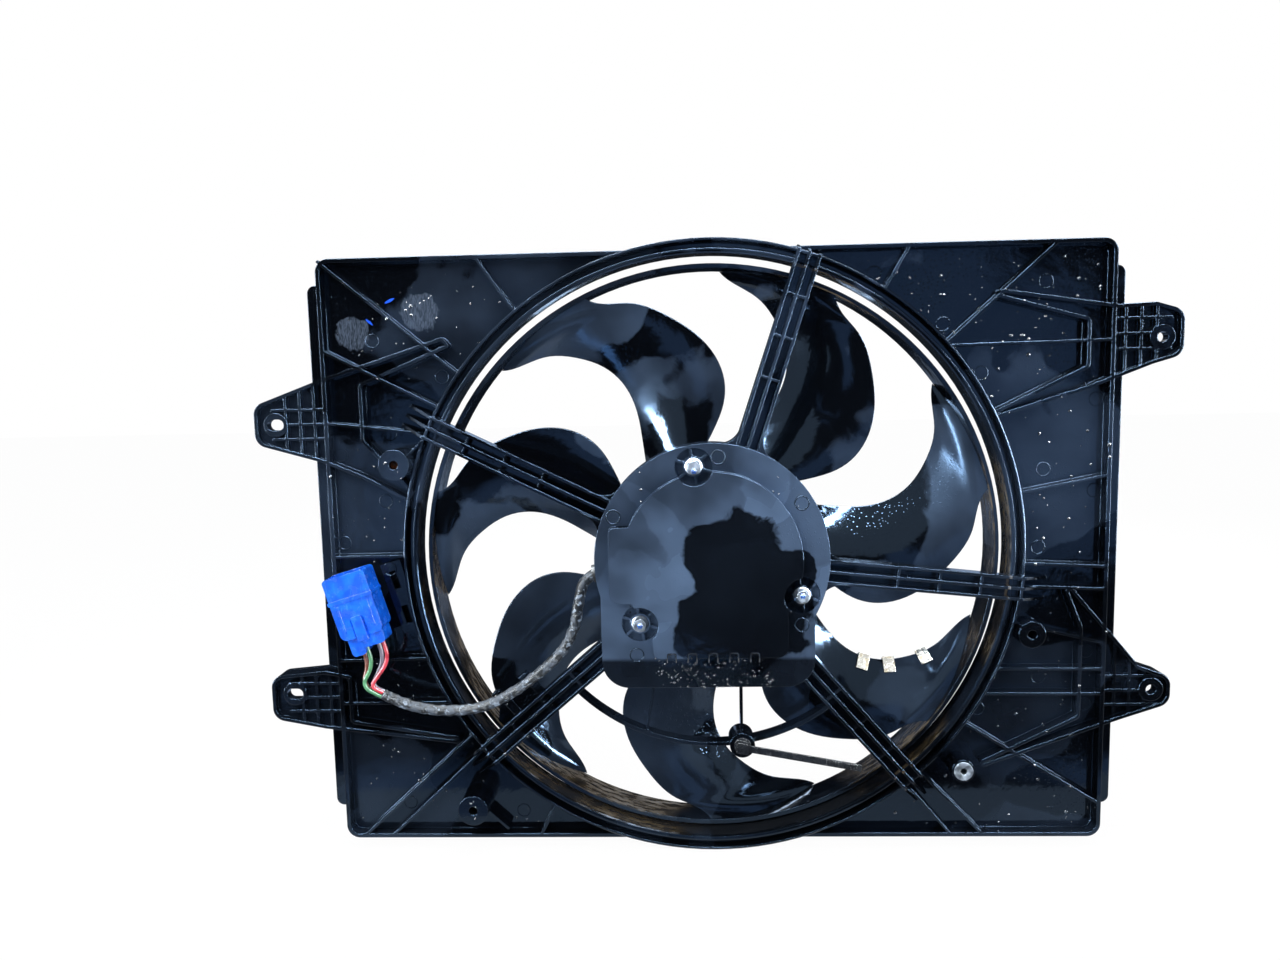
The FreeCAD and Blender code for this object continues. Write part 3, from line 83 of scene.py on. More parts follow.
def camera_axes():
    """Right, up and back directions of the camera, square to each other."""
    back = CAMERA_BACK.normalized()
    right = (CAMERA_RIGHT - back * CAMERA_RIGHT.dot(back)).normalized()
    return right, back.cross(right), back


def make_camera():
    """Camera at the photograph's place and angle."""
    data = bpy.data.cameras.new("camera")
    data.sensor_width = SENSOR_MM
    data.lens = SENSOR_MM * FOCAL_PIXELS / PHOTO_WIDTH
    camera = bpy.data.objects.new("camera", data)
    right, up, back = camera_axes()
    turn = Matrix((right, up, back)).transposed().to_4x4()
    camera.matrix_world = Matrix.Translation(CAMERA_AT) @ turn
    bpy.context.scene.collection.objects.link(camera)
    bpy.context.scene.camera = camera


def at_pixel(pixel, depth):
    """Point of the frame on the plane Y = depth that shows at a pixel of the photograph."""
    right, up, back = camera_axes()
    x = (pixel[0] - PHOTO_WIDTH / 2) / FOCAL_PIXELS
    z = (PHOTO_HEIGHT / 2 - pixel[1]) / FOCAL_PIXELS
    ray = right * x + up * z - back
    return CAMERA_AT + ray * ((depth - CAMERA_AT.y) / ray.y)


# Node graphs


class Graph:
    """A material whose nodes are added by short calls."""

    def __init__(self, name):
        self.material = bpy.data.materials.new(name)
        self.material.use_nodes = True
        self.tree = self.material.node_tree
        self.tree.nodes.clear()
        self.place = self.add("ShaderNodeTexCoord").outputs["Object"]

    def add(self, kind, inputs=None, **settings):
        """Add a node; an input is a value or another node's output."""
        node = self.tree.nodes.new(kind)
        for key, value in settings.items():
            setattr(node, key, value)
        for key, value in (inputs or {}).items():
            if isinstance(value, bpy.types.NodeSocket):
                self.tree.links.new(value, node.inputs[key])
            else:
                node.inputs[key].default_value = value
        return node

    def noise(self, scale, detail=3, distortion=0, place=None):
        """Cloudy value from 0 to 1."""
        node = self.add("ShaderNodeTexNoise", {"Vector": place or self.place, "Scale": scale,
                                               "Detail": detail, "Distortion": distortion})
        return node.outputs[0]

    def stretch(self, x, y, z):
        """Place with its axes scaled, for streaks."""
        return self.add("ShaderNodeMapping", {"Vector": self.place, "Scale": (x, y, z)}).outputs[0]

    def spread(self, value, low, high, to_low=0.0, to_high=1.0):
        """Map a range of a value to another range, clamped and smooth."""
        node = self.add("ShaderNodeMapRange", {"Value": value, "From Min": low, "From Max": high,
                                               "To Min": to_low, "To Max": to_high},
                        interpolation_type="SMOOTHSTEP")
        return node.outputs[0]

    def maths(self, operation, first, second=0.0):
        """One step of arithmetic."""
        return self.add("ShaderNodeMath", {0: first, 1: second}, operation=operation).outputs[0]

    def blend(self, share, first, second):
        """Mix two colours."""
        node = self.add("ShaderNodeMix", data_type="RGBA")
        for key, value in ((0, share), (6, first), (7, second)):
            if isinstance(value, bpy.types.NodeSocket):
                self.tree.links.new(value, node.inputs[key])
            else:
                node.inputs[key].default_value = value if key == 0 else (*value, 1.0)
        return node.outputs[2]

    def parts(self):
        """X, Y and Z of the place."""
        return self.add("ShaderNodeSeparateXYZ", {0: self.place}).outputs

    def radius(self):
        """Distance from the fan axis."""
        x, _, z = self.parts()
        flat = self.add("ShaderNodeCombineXYZ", {0: x, 2: z}).outputs[0]
        return self.add("ShaderNodeVectorMath", {0: flat}, operation="LENGTH").outputs["Value"]

    def soft_edges(self, width):
        """Normals that round the sharp edges."""
        return self.add("ShaderNodeBevel", {"Radius": width}, samples=4).outputs[0]

    def relief(self, height, strength, distance, normal=None):
        """Normals of a fine relief."""
        inputs = {"Height": height, "Strength": strength, "Distance": distance}
        if normal is not None:
            inputs["Normal"] = normal
        return self.add("ShaderNodeBump", inputs).outputs[0]

    def finish(self, colour, roughness, normal=None, **fixed):
        """Principled surface; the fixed values are the same all over."""
        inputs = {"Base Color": colour if isinstance(colour, bpy.types.NodeSocket) else (*colour, 1.0),
                  "Roughness": roughness}
        if normal is not None:
            inputs["Normal"] = normal
        for key, value in fixed.items():
            inputs[key.replace("_", " ")] = value
        surface = self.add("ShaderNodeBsdfPrincipled", inputs)
        output = self.add("ShaderNodeOutputMaterial")
        self.tree.links.new(surface.outputs[0], output.inputs[0])
        return self.material


# Materials

BLACK = (0.0016, 0.0021, 0.0032)
# Slate-blue of the drying film, partly a painted sky reflection; brighter on the hub cover as a
# painted sheen
SLATE_FILM_AND_SHEEN = (0.046, 0.070, 0.116)
COVER_FILM_AND_SHEEN = (0.085, 0.130, 0.215)
DUST = (0.120, 0.082, 0.032)
SCUFF = (0.085, 0.110, 0.155)
CRAYON = (0.02, 0.10, 0.75)
FILM_TINT = (0.40, 0.64, 1.0, 1.0)
FILM_SPECULAR = 0.42

# Scales of the film's noises, per metre
RAGGED_SCALE = 48
PATCH_SCALE = 8
CLOUD_SCALE = 13
RIPPLE_SCALE = 42
BEAD_SCALE = 420
GRAIN_SCALE = 900

# Noise level between wet film and dry film with painted sheen, and how far the ragged noise shifts it
DRY_EDGE = (0.535, 0.560)
RAGGED_SHARE = 0.10

# Roughness of wet and of dry film, and what dust adds to it
WET_ROUGHNESS = 0.085
DRY_ROUGHNESS = 0.30
DUST_ROUGHNESS = 0.45

# Inner faces that hold dust, as distances from the fan axis
RING_BORE = (0.2192, 0.2212)
BAND_INSIDE = (0.2096, 0.2114)

# Worn places on the upper left panel: pixel, size. Strokes beside them: pixel, size, slope.
SCUFFS = (((419, 313), 0.0140), ((352, 333), 0.0125))
STROKES = (((389, 301), 0.0042, 25), ((369, 322), 0.0034, -40))

# Dark wet lobes on the hub cover, where the painted sheen is left out: pixel, size
LOBES = (((735, 560), 0.036), ((760, 612), 0.040), ((715, 628), 0.030), ((792, 575), 0.020))

# Foot of the hub cover, wet and black below this pixel, where the painted sheen fades out: fade of its
# edge and the share of film and painted sheen that it keeps
FOOT_PIXEL = (715, 659)
FOOT_FADE = 2 * MM
FOOT_FILM_AND_SHEEN = 0.10

# Painted shade towards the bottom: share of the drying film and painted sheen that the lower half
# keeps, and the heights it changes between
LOW_FILM_AND_SHEEN = 0.45
LOW_SPAN = (-0.14, 0.04)

# Outline of a scuff, stroke or lobe, as shares of its size: pushed by noise, outer and inner edge
NOISE_PUSH = 0.9
OUTER_EDGE = 1.52
INNER_EDGE = 1.38
STROKE_SLIMNESS = 4.0

# Scuffs: strength, and the scales along X, Y and Z of their streaks
SCUFF_STRENGTH = 0.7
SCUFF_STREAKS = (900, 900, 160)


def near(g, pixel, depth, reach, ragged, slope=None):
    """Share of a ragged round area, or a stroke at a slope, about the place at a pixel."""
    at = at_pixel(pixel, depth)
    gap = g.add("ShaderNodeVectorMath", {0: g.place, 1: (at.x, 0.0, at.z)}, operation="SUBTRACT")
    gap = gap.outputs[0]
    if slope is not None:
        gap = g.add("ShaderNodeVectorRotate", {"Vector": gap, "Angle": math.radians(slope)},
                    rotation_type="Y_AXIS").outputs[0]
    scale = (1.0, 0.0, 1.0 if slope is None else STROKE_SLIMNESS)
    flat = g.add("ShaderNodeVectorMath", {0: gap, 1: scale}, operation="MULTIPLY")
    away = g.add("ShaderNodeVectorMath", {0: flat.outputs[0]}, operation="LENGTH").outputs["Value"]
    away = g.maths("ADD", away, g.maths("MULTIPLY", ragged, reach * NOISE_PUSH))
    return g.spread(away, reach * OUTER_EDGE, reach * INNER_EDGE)


def worn_colour(g, colour):
    """Pale scuffs and short blue strokes over a colour, on the panel's rear face alone."""
    ragged = g.noise(120, 5, 0.5)
    rear = g.spread(g.parts()[1], PANEL_FACE + 1.8 * MM, PANEL_FACE + 0.8 * MM)
    grit = g.spread(g.noise(1, 4, 1.5, g.stretch(*SCUFF_STREAKS)), 0.35, 0.65, 0.25, 1.0)
    for pixel, reach in SCUFFS:
        share = near(g, pixel, PANEL_FACE, reach, ragged)
        share = g.maths("MULTIPLY", g.maths("MULTIPLY", share, grit), rear)
        colour = g.blend(g.maths("MULTIPLY", share, SCUFF_STRENGTH), colour, SCUFF)
    for pixel, reach, turn in STROKES:
        share = near(g, pixel, PANEL_FACE, reach, g.noise(300, 2), turn)
        colour = g.blend(g.maths("MULTIPLY", share, rear), colour, CRAYON)
    return colour


def cover_film_and_sheen(g, film_sheen_patch, ragged):
    """Dried film and painted sheen on the hub cover, but for its dark lobes and its wet foot."""
    # Painted sheen is left out on the dark lobes and fades out below the foot
    dark_lobes = 0.0
    for pixel, reach in LOBES:
        dark_lobes = g.maths("MAXIMUM", dark_lobes, near(g, pixel, DOME_FACE, reach, ragged))
    film_and_sheen_kept = g.spread(dark_lobes, 0.0, 1.0, 1.0, 0.04)
    film_sheen_patch = g.maths("MULTIPLY", film_and_sheen_kept, g.spread(film_sheen_patch, 0, 1, 0.75, 1.0))
    foot = at_pixel(FOOT_PIXEL, CARRIER_FACE).z
    above = g.spread(g.parts()[2], foot - FOOT_FADE, foot + FOOT_FADE, FOOT_FILM_AND_SHEEN, 1.0)
    return g.maths("MULTIPLY", film_sheen_patch, above)


def dust_share(g, nearest, farthest):
    """Streaked dust on the faces between two distances from the fan axis."""
    radius = g.radius()
    inside = g.spread(radius, nearest - 0.6 * MM, nearest)
    within = g.spread(radius, farthest, farthest - 0.4 * MM)
    x, along, z = g.parts()
    turn = g.maths("MULTIPLY", g.maths("ARCTAN2", z, x), nearest * 0.3)
    streak = g.add("ShaderNodeCombineXYZ", {0: turn, 1: along}).outputs[0]
    speckle = g.spread(g.noise(300, 5, 0.0, streak), 0.38, 0.66, 0.15, 1.0)
    area = g.spread(g.noise(6, 3), 0.50, 0.62)
    between = g.maths("MULTIPLY", inside, within)
    return g.maths("MULTIPLY", between, g.maths("MULTIPLY", speckle, area))


def film_relief(g):
    """Normals of rippled water with beads where it is damp."""
    beads = g.add("ShaderNodeTexVoronoi", {"Vector": g.place, "Scale": BEAD_SCALE, "Randomness": 1.0})
    bead = g.spread(beads.outputs["Distance"], 0.30, 0.08)
    damp = g.spread(g.noise(CLOUD_SCALE, 2), 0.54, 0.62, 0.0, 0.22)
    height = g.maths("ADD", g.noise(RIPPLE_SCALE, 3, 0.4), g.maths("MULTIPLY", bead, damp))
    height = g.maths("ADD", height, g.maths("MULTIPLY", g.noise(GRAIN_SCALE, 2), 0.02))
    return g.relief(height, 0.30, 1.2 * MM, g.soft_edges(0.8 * MM))


def wet_black(name, film_and_sheen_strength, dusty=None, hub=False, worn=False):
    """Wet, glossy black nylon with slate-blue patches of drying film and painted sky reflection, and
    dust between two radii.
    """
    g = Graph(name)
    ragged = g.noise(RAGGED_SCALE, 4, 0.5)
    shape = g.maths("ADD", g.noise(PATCH_SCALE, 2, 0.6), g.maths("MULTIPLY", ragged, RAGGED_SHARE))
    film_sheen_patch = g.spread(shape, *DRY_EDGE)
    if hub:
        film_sheen_patch = cover_film_and_sheen(g, film_sheen_patch, ragged)
    else:
        # Painted shade: the film and painted sheen fade towards the bottom
        film_sheen_patch = g.maths("MULTIPLY", film_sheen_patch, g.spread(g.parts()[2], *LOW_SPAN, LOW_FILM_AND_SHEEN, 1.0))
    cloud = g.spread(g.noise(CLOUD_SCALE, 3), 0.30, 0.70, 0.30, 1.0)
    # Slate-blue patches: drying film and a painted reflection of the sky
    film_and_sheen = g.maths("MULTIPLY", g.maths("MULTIPLY", film_sheen_patch, cloud), film_and_sheen_strength)
    colour = g.blend(film_and_sheen, BLACK, COVER_FILM_AND_SHEEN if hub else SLATE_FILM_AND_SHEEN)
    rough = g.spread(film_and_sheen, 0.0, 0.8, WET_ROUGHNESS, DRY_ROUGHNESS)
    if worn:
        colour = worn_colour(g, colour)
    if dusty is not None:
        dust = dust_share(g, *dusty)
        colour = g.blend(dust, colour, DUST)
        rough = g.maths("ADD", rough, g.maths("MULTIPLY", dust, DUST_ROUGHNESS))
    return g.finish(colour, rough, film_relief(g), Specular_IOR_Level=FILM_SPECULAR,
                    Specular_Tint=FILM_TINT)


def metal(name, colour, roughness, grain, tint=None, stain=None):
    """Metal with fine grain, and clouds of a tint and rough stains if it has them."""
    g = Graph(name)
    shade = g.spread(g.noise(grain, 4), 0.3, 0.7)
    skin = g.blend(shade, tuple(c * 0.82 for c in colour), colour)
    if tint is not None:
        skin = g.blend(g.spread(g.noise(180, 2), 0.45, 0.7, 0.0, 0.6), skin, tint)
    rough = g.spread(g.noise(grain * 0.5, 3), 0.3, 0.7, roughness * 0.7, roughness * 1.3)
    if stain is not None:
        spots = g.spread(g.noise(260, 5), 0.50, 0.60)
        skin = g.blend(spots, skin, stain)
        rough = g.maths("ADD", rough, g.maths("MULTIPLY", spots, 0.4))
    normal = g.relief(g.noise(grain, 3), 0.12, 0.0002, g.soft_edges(0.0003))
    return g.finish(skin, rough, normal, Metallic=1.0)


def plastic(name, colour, shade, roughness, grain=500, bump=0.1, specular=0.5, scuff=0.0):
    """Moulded plastic or rubber with clouds of shade, grain and scuffs."""
    g = Graph(name)
    skin = g.blend(g.spread(g.noise(130, 4), 0.35, 0.68), shade, colour)
    if scuff > 0:
        pale = tuple(min(1.0, c * 1.6 + 0.06) for c in colour)
        marks = g.spread(g.noise(90, 5, 2.0, g.stretch(3, 1, 0.6)), 0.60, 0.68, 0.0, scuff)
        skin = g.blend(marks, skin, pale)
    rough = g.spread(g.noise(150, 3), 0.3, 0.7, roughness * 0.75, roughness * 1.25)
    normal = g.relief(g.noise(grain, 3), bump, 0.0003, g.soft_edges(0.0005))
    return g.finish(skin, rough, normal, Specular_IOR_Level=specular)


def lamination(name, across, scale, colour, gap_colour, roughness, metallic):
    """Stack of thin sheets or turns of wire, as fine bands along an axis."""
    g = Graph(name)
    waves = g.add("ShaderNodeTexWave", {"Vector": g.place, "Scale": scale, "Distortion": 0.4},
                  wave_type="BANDS", bands_direction=across)
    band = waves.outputs["Fac"]
    skin = g.blend(g.spread(band, 0.15, 0.5), gap_colour, colour)
    normal = g.relief(band, 0.5, 0.0003)
    rough = g.spread(g.noise(300, 2), 0.3, 0.7, roughness * 0.8, roughness * 1.2)
    return g.finish(skin, rough, normal, Metallic=metallic)


def water(name):
    """Standing water on black plastic, dark but for its bright reflections."""
    g = Graph(name)
    cloud = g.spread(g.noise(200, 2), 0.35, 0.65)
    skin = g.blend(cloud, (0.008, 0.011, 0.016), (0.020, 0.028, 0.040))
    normal = g.relief(g.noise(900, 2), 0.08, 0.0002)
    rough = g.spread(g.noise(400, 2), 0.3, 0.7, 0.02, 0.08)
    return g.finish(skin, rough, normal, Specular_IOR_Level=1.0)


def harness_tape(name):
    """Worn grey-black cloth tape with pale bluish painted highlights."""
    g = Graph(name)
    weave = g.add("ShaderNodeTexWave", {"Vector": g.place, "Scale": 900, "Distortion": 1.5},
                  bands_direction="DIAGONAL").outputs["Fac"]
    worn = g.spread(g.noise(120, 6, 1.0), 0.44, 0.62)
    skin = g.blend(worn, (0.005, 0.007, 0.010), (0.045, 0.060, 0.085))
    # Pale bluish clouds: painted highlights on the tape
    skin = g.blend(g.spread(g.noise(240, 4, 1.0), 0.56, 0.66), skin, (0.19, 0.24, 0.31))
    height = g.maths("ADD", g.maths("MULTIPLY", weave, 0.3), g.noise(260, 4))
    normal = g.relief(height, 0.8, 0.0006)
    return g.finish(skin, g.spread(worn, 0, 1, 0.35, 0.70), normal, Specular_IOR_Level=0.3)


MATERIALS = {
    "black_moulding": wet_black("wet_black_shroud", 0.34, RING_BORE, worn=True),
    "clip_steel": metal("clip_steel", (0.74, 0.72, 0.66), 0.24, 500, stain=(0.28, 0.24, 0.18)),
    "motor_steel": metal("motor_steel", (0.045, 0.045, 0.05), 0.35, 400),
    "bearing_steel": metal("bearing_steel", (0.56, 0.57, 0.58), 0.22, 700),
    "magnet": plastic("magnet", (0.11, 0.11, 0.115), (0.07, 0.07, 0.075), 0.6, 700, 0.3),
    "stack_steel": lamination("stack_steel", "Y", 320, (0.30, 0.30, 0.31), (0.06, 0.06, 0.06),
                              0.4, 1.0),
    "copper": lamination("copper", "DIAGONAL", 240, (0.72, 0.30, 0.13), (0.20, 0.07, 0.03),
                         0.3, 0.9),
    "brush_card": plastic("brush_card", (0.24, 0.15, 0.08), (0.17, 0.10, 0.05), 0.55),
    "carbon": plastic("carbon", (0.04, 0.04, 0.042), (0.02, 0.02, 0.022), 0.65, 900, 0.3),
    "plated_steel": metal("plated_steel", (0.30, 0.33, 0.38), 0.42, 420,
                          tint=(0.26, 0.29, 0.28)),
    "rusty_steel": metal("rusty_steel", (0.32, 0.20, 0.14), 0.6, 300,
                         stain=(0.20, 0.065, 0.025)),
    "blue_plastic": plastic("blue_plastic", (0.003, 0.150, 0.86), (0.002, 0.085, 0.62), 0.24,
                            400, 0.08, 0.5, 0.35),
    "terminal": metal("terminal", (0.72, 0.64, 0.42), 0.3, 600),
    "taped_lead": harness_tape("taped_lead"),
    "wire_brown": plastic("wire_brown", (0.42, 0.17, 0.13), (0.28, 0.09, 0.06), 0.35),
    "wire_green": plastic("wire_green", (0.10, 0.34, 0.15), (0.05, 0.20, 0.09), 0.35),
    "wire_violet": plastic("wire_violet", (0.30, 0.26, 0.33), (0.18, 0.15, 0.20), 0.4),
    "wire_red": plastic("wire_red", (0.75, 0.055, 0.09), (0.50, 0.03, 0.05), 0.35),
    "rubber": plastic("rubber", (0.02, 0.02, 0.021), (0.012, 0.012, 0.013), 0.55),
    "tie_plastic": plastic("tie_plastic", (0.016, 0.019, 0.024), (0.006, 0.007, 0.010), 0.25,
                           300, 0.3, 0.5, 0.35),
}
WET_PARTS = {
    "fan_hub": wet_black("wet_black_fan_hub", 0.4),
    "fan_blades": wet_black("wet_black_blades", 0.62),
    "fan_band": wet_black("wet_black_band", 0.3, BAND_INSIDE),
    "motor_carrier": wet_black("wet_black_carrier", 0.8, hub=True),
}
WATER = water("water_film")
SCREW_DYE = plastic("screw_dye", (0.02, 0.16, 0.62), (0.01, 0.07, 0.30), 0.3, 600, 0.2)


def paint_nodes():
    """Give every solid of the frame the material of its slot."""
    slots = {row["node"]: row["material_slot"] for row in frame["record"]["subparts"]}
    for name, thing in frame["nodes"].items():
        material = WET_PARTS.get(name) or MATERIALS[slots[name]]
        if not thing.material_slots:
            thing.data.materials.append(material)
        for slot in thing.material_slots:
            slot.material = material


# Pieces

# Middle of the taped lead from the motor to the connector, in millimetres
LEAD_ROUTE = [
    (-79, -21, -9), (-93, -21, -12), (-98, -21, -30), (-101, -22, -50), (-110, -21.5, -68),
    (-128, -20.5, -85), (-148, -19.5, -100), (-170, -18, -112), (-193, -17, -116),
    (-218, -16, -115), (-238, -15.5, -109), (-250, -15, -103),
]
LEAD_RADIUS = 4.0 * MM
TAPE_LAP = 9.5 * MM
TAPE_STEP = 0.55 * MM
TAPE_EDGE = 0.88
CREASE_SCALE = 260
CREASE_DEPTH = 0.35 * MM
LEAD_SIDES = 24
LEAD_RING_GAP = 0.7 * MM

# Ejector-pin rings: size, sides, and the pixels of their middles
MARK_RADIUS = 5.0 * MM
MARK_TUBE = 0.42 * MM
MARK_AROUND = 36
MARK_ACROSS = 6
MARK_PIXELS = (
    (333, 291), (372, 341), (442, 377), (338, 398), (390, 434), (341, 455), (386, 501), (345, 543),
    (390, 569), (355, 683), (411, 802), (524, 810), (874, 273), (943, 324), (1046, 281), (1098, 323),
    (981, 373), (1096, 399), (1043, 469), (1094, 490), (1038, 547), (1086, 596), (1038, 677),
    (1086, 651), (1084, 704), (977, 708), (718, 457), (802, 503), (613, 517), (802, 625), (637, 655),
)

# Areas with standing drops: pixel box, number, largest radius in millimetres
WET_AREAS = (
    ((655, 655, 772, 688), 190, 0.85), ((630, 470, 800, 650), 110, 0.8),
    ((335, 270, 620, 380), 90, 1.2), ((860, 255, 1105, 420), 130, 1.3),
    ((355, 700, 560, 830), 80, 1.1), ((880, 660, 1100, 830), 110, 1.3),
    ((1030, 430, 1110, 640), 60, 1.2), ((330, 400, 420, 560), 40, 1.1),
    ((350, 560, 420, 700), 30, 1.0),
)
DROP_SEED = 5
DROP_AROUND = 12

# Rings of a drop as shares of its radius: width and height, and the height of its top
DROP_LEVELS = ((1.0, -0.06), (0.98, 0.26), (0.78, 0.52), (0.42, 0.68))
DROP_TOP = 0.74

# Rearmost depth at which marks and drops still stay inside the CAD box
REARMOST = CAD_BOX[0][1] + 0.6 * MM

# Dyed recesses of the motor screws: pixels, size, lobes, and rings of width and depth
SCREW_PIXELS = ((694, 471), (803, 596), (640, 626))
RECESS_RADIUS = 2.1 * MM
RECESS_LOBE = 0.32 * MM
RECESS_LOBES = 6
RECESS_AROUND = 36
RECESS_LEVELS = ((1.0, 0.02 * MM), (0.9, -0.10 * MM), (0.45, -0.06 * MM))

# Vent notches at the foot of the hub cover
VENT_COUNT = 5
VENT_PITCH = 15 * MM
VENT_WIDTH = 7 * MM
VENT_TALL = 7 * MM
VENT_ROUND = 1.5 * MM
VENT_TOP = -66 * MM
LIP_RADIUS = 0.5 * MM
LIP_INSET = 0.6 * LIP_RADIUS
LIP_AROUND = 8


def add_piece(name, points, faces, material, body, smooth=True):
    """Mesh object that moves with a body and takes its finish from a slot."""
    mesh = bpy.data.meshes.new(name)
    mesh.from_pydata(points, [], faces)
    mesh.validate()
    mesh.materials.append(material)
    for face in mesh.polygons:
        face.use_smooth = smooth
    thing = bpy.data.objects.new(name, mesh)
    bpy.context.scene.collection.objects.link(thing)
    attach(thing, body)
    return thing


def join_rings(faces, a, b, around, flipped=False):
    """Add the quads between two rings of points that start at a and b."""
    for k in range(around):
        j = (k + 1) % around
        quad = (a + k, a + j, b + j, b + k) if flipped else (a + k, b + k, b + j, a + j)
        faces.append(quad)


def smooth_line(route, gap):
    """Even steps along the smooth line that the points of a route control."""
    data = bpy.data.curves.new("lead_line", "CURVE")
    data.dimensions = "3D"
    data.resolution_u = 24
    spline = data.splines.new("NURBS")
    spline.points.add(len(route) - 1)
    for point, place in zip(spline.points, route):
        point.co = (*(Vector(place) * MM), 1.0)
    spline.order_u = 3
    spline.use_endpoint_u = True
    thing = bpy.data.objects.new("lead_line", data)
    bpy.context.scene.collection.objects.link(thing)
    graph = bpy.context.evaluated_depsgraph_get()
    mesh = bpy.data.meshes.new_from_object(thing.evaluated_get(graph))
    line = [vertex.co.copy() for vertex in mesh.vertices]
    bpy.data.objects.remove(thing)
    bpy.data.curves.remove(data)
    bpy.data.meshes.remove(mesh)
    even = [line[0]]
    for place in line[1:]:
        while (place - even[-1]).length > gap:
            even.append(even[-1] + (place - even[-1]).normalized() * gap)
    return even


def taped_lead():
    """Lead wound with cloth tape whose turns overlap, replacing its plain solid."""
    line = smooth_line(LEAD_ROUTE, LEAD_RING_GAP)
    points, faces = [], []
    side = Vector((0, 1, 0))
    count = len(line)
    for i, middle in enumerate(line):
        ahead = (line[min(i + 1, count - 1)] - line[max(i - 1, 0)]).normalized()
        side = (side - ahead * side.dot(ahead)).normalized()
        other = ahead.cross(side)
        for k in range(LEAD_SIDES):
            angle = 2 * math.pi * k / LEAD_SIDES
            out = side * math.cos(angle) + other * math.sin(angle)
            turn = (i * LEAD_RING_GAP / TAPE_LAP - k / LEAD_SIDES) % 1.0
            lap = 1.0 - turn if turn < TAPE_EDGE else (turn - TAPE_EDGE) / (1.0 - TAPE_EDGE)
            crease = noise.noise((middle + out * LEAD_RADIUS) * CREASE_SCALE)
            wide = LEAD_RADIUS + TAPE_STEP * (lap - 0.6) + crease * CREASE_DEPTH
            points.append(middle + out * wide)
    for i in range(count - 1):
        join_rings(faces, i * LEAD_SIDES, (i + 1) * LEAD_SIDES, LEAD_SIDES)
    faces.append(tuple(range(LEAD_SIDES)))
    faces.append(tuple(reversed(range((count - 1) * LEAD_SIDES, count * LEAD_SIDES))))
    lead = add_piece("taped_lead", points, faces, MATERIALS["taped_lead"], "frame")
    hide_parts("lead_sleeve")


def surface_finder(names):
    """Trees for looking up where the faces of nodes lie."""
    trees = []
    for name in names:
        mesh = frame["nodes"][name].data
        trees.append(BVHTree.FromPolygons([v.co for v in mesh.vertices],
                                          [tuple(p.vertices) for p in mesh.polygons]))
    return trees


def surface_at(trees, pixel):
    """Nearest face point seen at a pixel of the photograph, its normal and distance, or None."""
    along = (at_pixel(pixel, 0.0) - CAMERA_AT).normalized()
    best = None
    for tree in trees:
        place, normal, _, away = tree.ray_cast(CAMERA_AT, along)
        if place is not None and (best is None or away < best[2]):
            best = (place, normal if normal.dot(along) < 0 else -normal, away)
    return best


def square_axes(normal):
    """Two directions square to a normal and each other."""
    first = normal.orthogonal().normalized()
    return first, normal.cross(first).normalized()


def ejector_marks(trees):
    """Round ejector-pin rings on the panel and the hub cover."""
    points, faces = [], []
    for pixel in MARK_PIXELS:
        hit = surface_at(trees, pixel)
        if hit is None or abs(hit[1].y) < 0.98 or hit[0].y < REARMOST:
            continue
        place, normal, _ = hit
        first, second = square_axes(normal)
        base = len(points)
        for i in range(MARK_AROUND):
            angle = 2 * math.pi * i / MARK_AROUND
            out = first * math.cos(angle) + second * math.sin(angle)
            for k in range(MARK_ACROSS):
                tilt = 2 * math.pi * k / MARK_ACROSS
                points.append(place + out * (MARK_RADIUS + MARK_TUBE * math.cos(tilt))
                              + normal * MARK_TUBE * 0.8 * math.sin(tilt))
        for i in range(MARK_AROUND):
            join_rings(faces, base + i * MARK_ACROSS, base + (i + 1) % MARK_AROUND * MARK_ACROSS,
                       MARK_ACROSS)
    add_piece("ejector_marks", points, faces, MATERIALS["black_moulding"], "frame")


def water_drops(trees):
    """Flattened drops of water standing on the panel and the hub cover."""
    draw = random.Random(DROP_SEED)
    points, faces = [], []
    for (left, top, right, bottom), number, largest in WET_AREAS:
        for _ in range(number):
            pixel = (draw.uniform(left, right), draw.uniform(top, bottom))
            wide = (0.26 + 0.8 * largest * draw.random() ** 2.6) * MM
            longer = 1.0 + 0.5 * draw.random()
            swing = draw.uniform(0, math.pi)
            hit = surface_at(trees, pixel)
            if hit is None or abs(hit[1].y) < 0.9 or hit[0].y < REARMOST:
                continue
            place, normal, _ = hit
            first, second = square_axes(normal)
            base = len(points)
            for share, high in DROP_LEVELS:
                for i in range(DROP_AROUND):
                    angle = 2 * math.pi * i / DROP_AROUND
                    wobble = 1.0 + 0.10 * math.sin(2 * angle + swing) + 0.06 * math.sin(3 * angle)
                    out = (first * math.cos(angle + swing) * longer
                           + second * math.sin(angle + swing))
                    points.append(place + out * wide * share * wobble + normal * wide * high)
            points.append(place + normal * wide * DROP_TOP)
            for level in range(len(DROP_LEVELS) - 1):
                start = base + level * DROP_AROUND
                join_rings(faces, start, start + DROP_AROUND, DROP_AROUND, flipped=True)
            top_ring = base + (len(DROP_LEVELS) - 1) * DROP_AROUND
            for i in range(DROP_AROUND):
                faces.append((top_ring + i, top_ring + (i + 1) % DROP_AROUND, len(points) - 1))
            faces.append(tuple(base + i for i in reversed(range(DROP_AROUND))))
    add_piece("water_drops", points, faces, WATER, "frame")


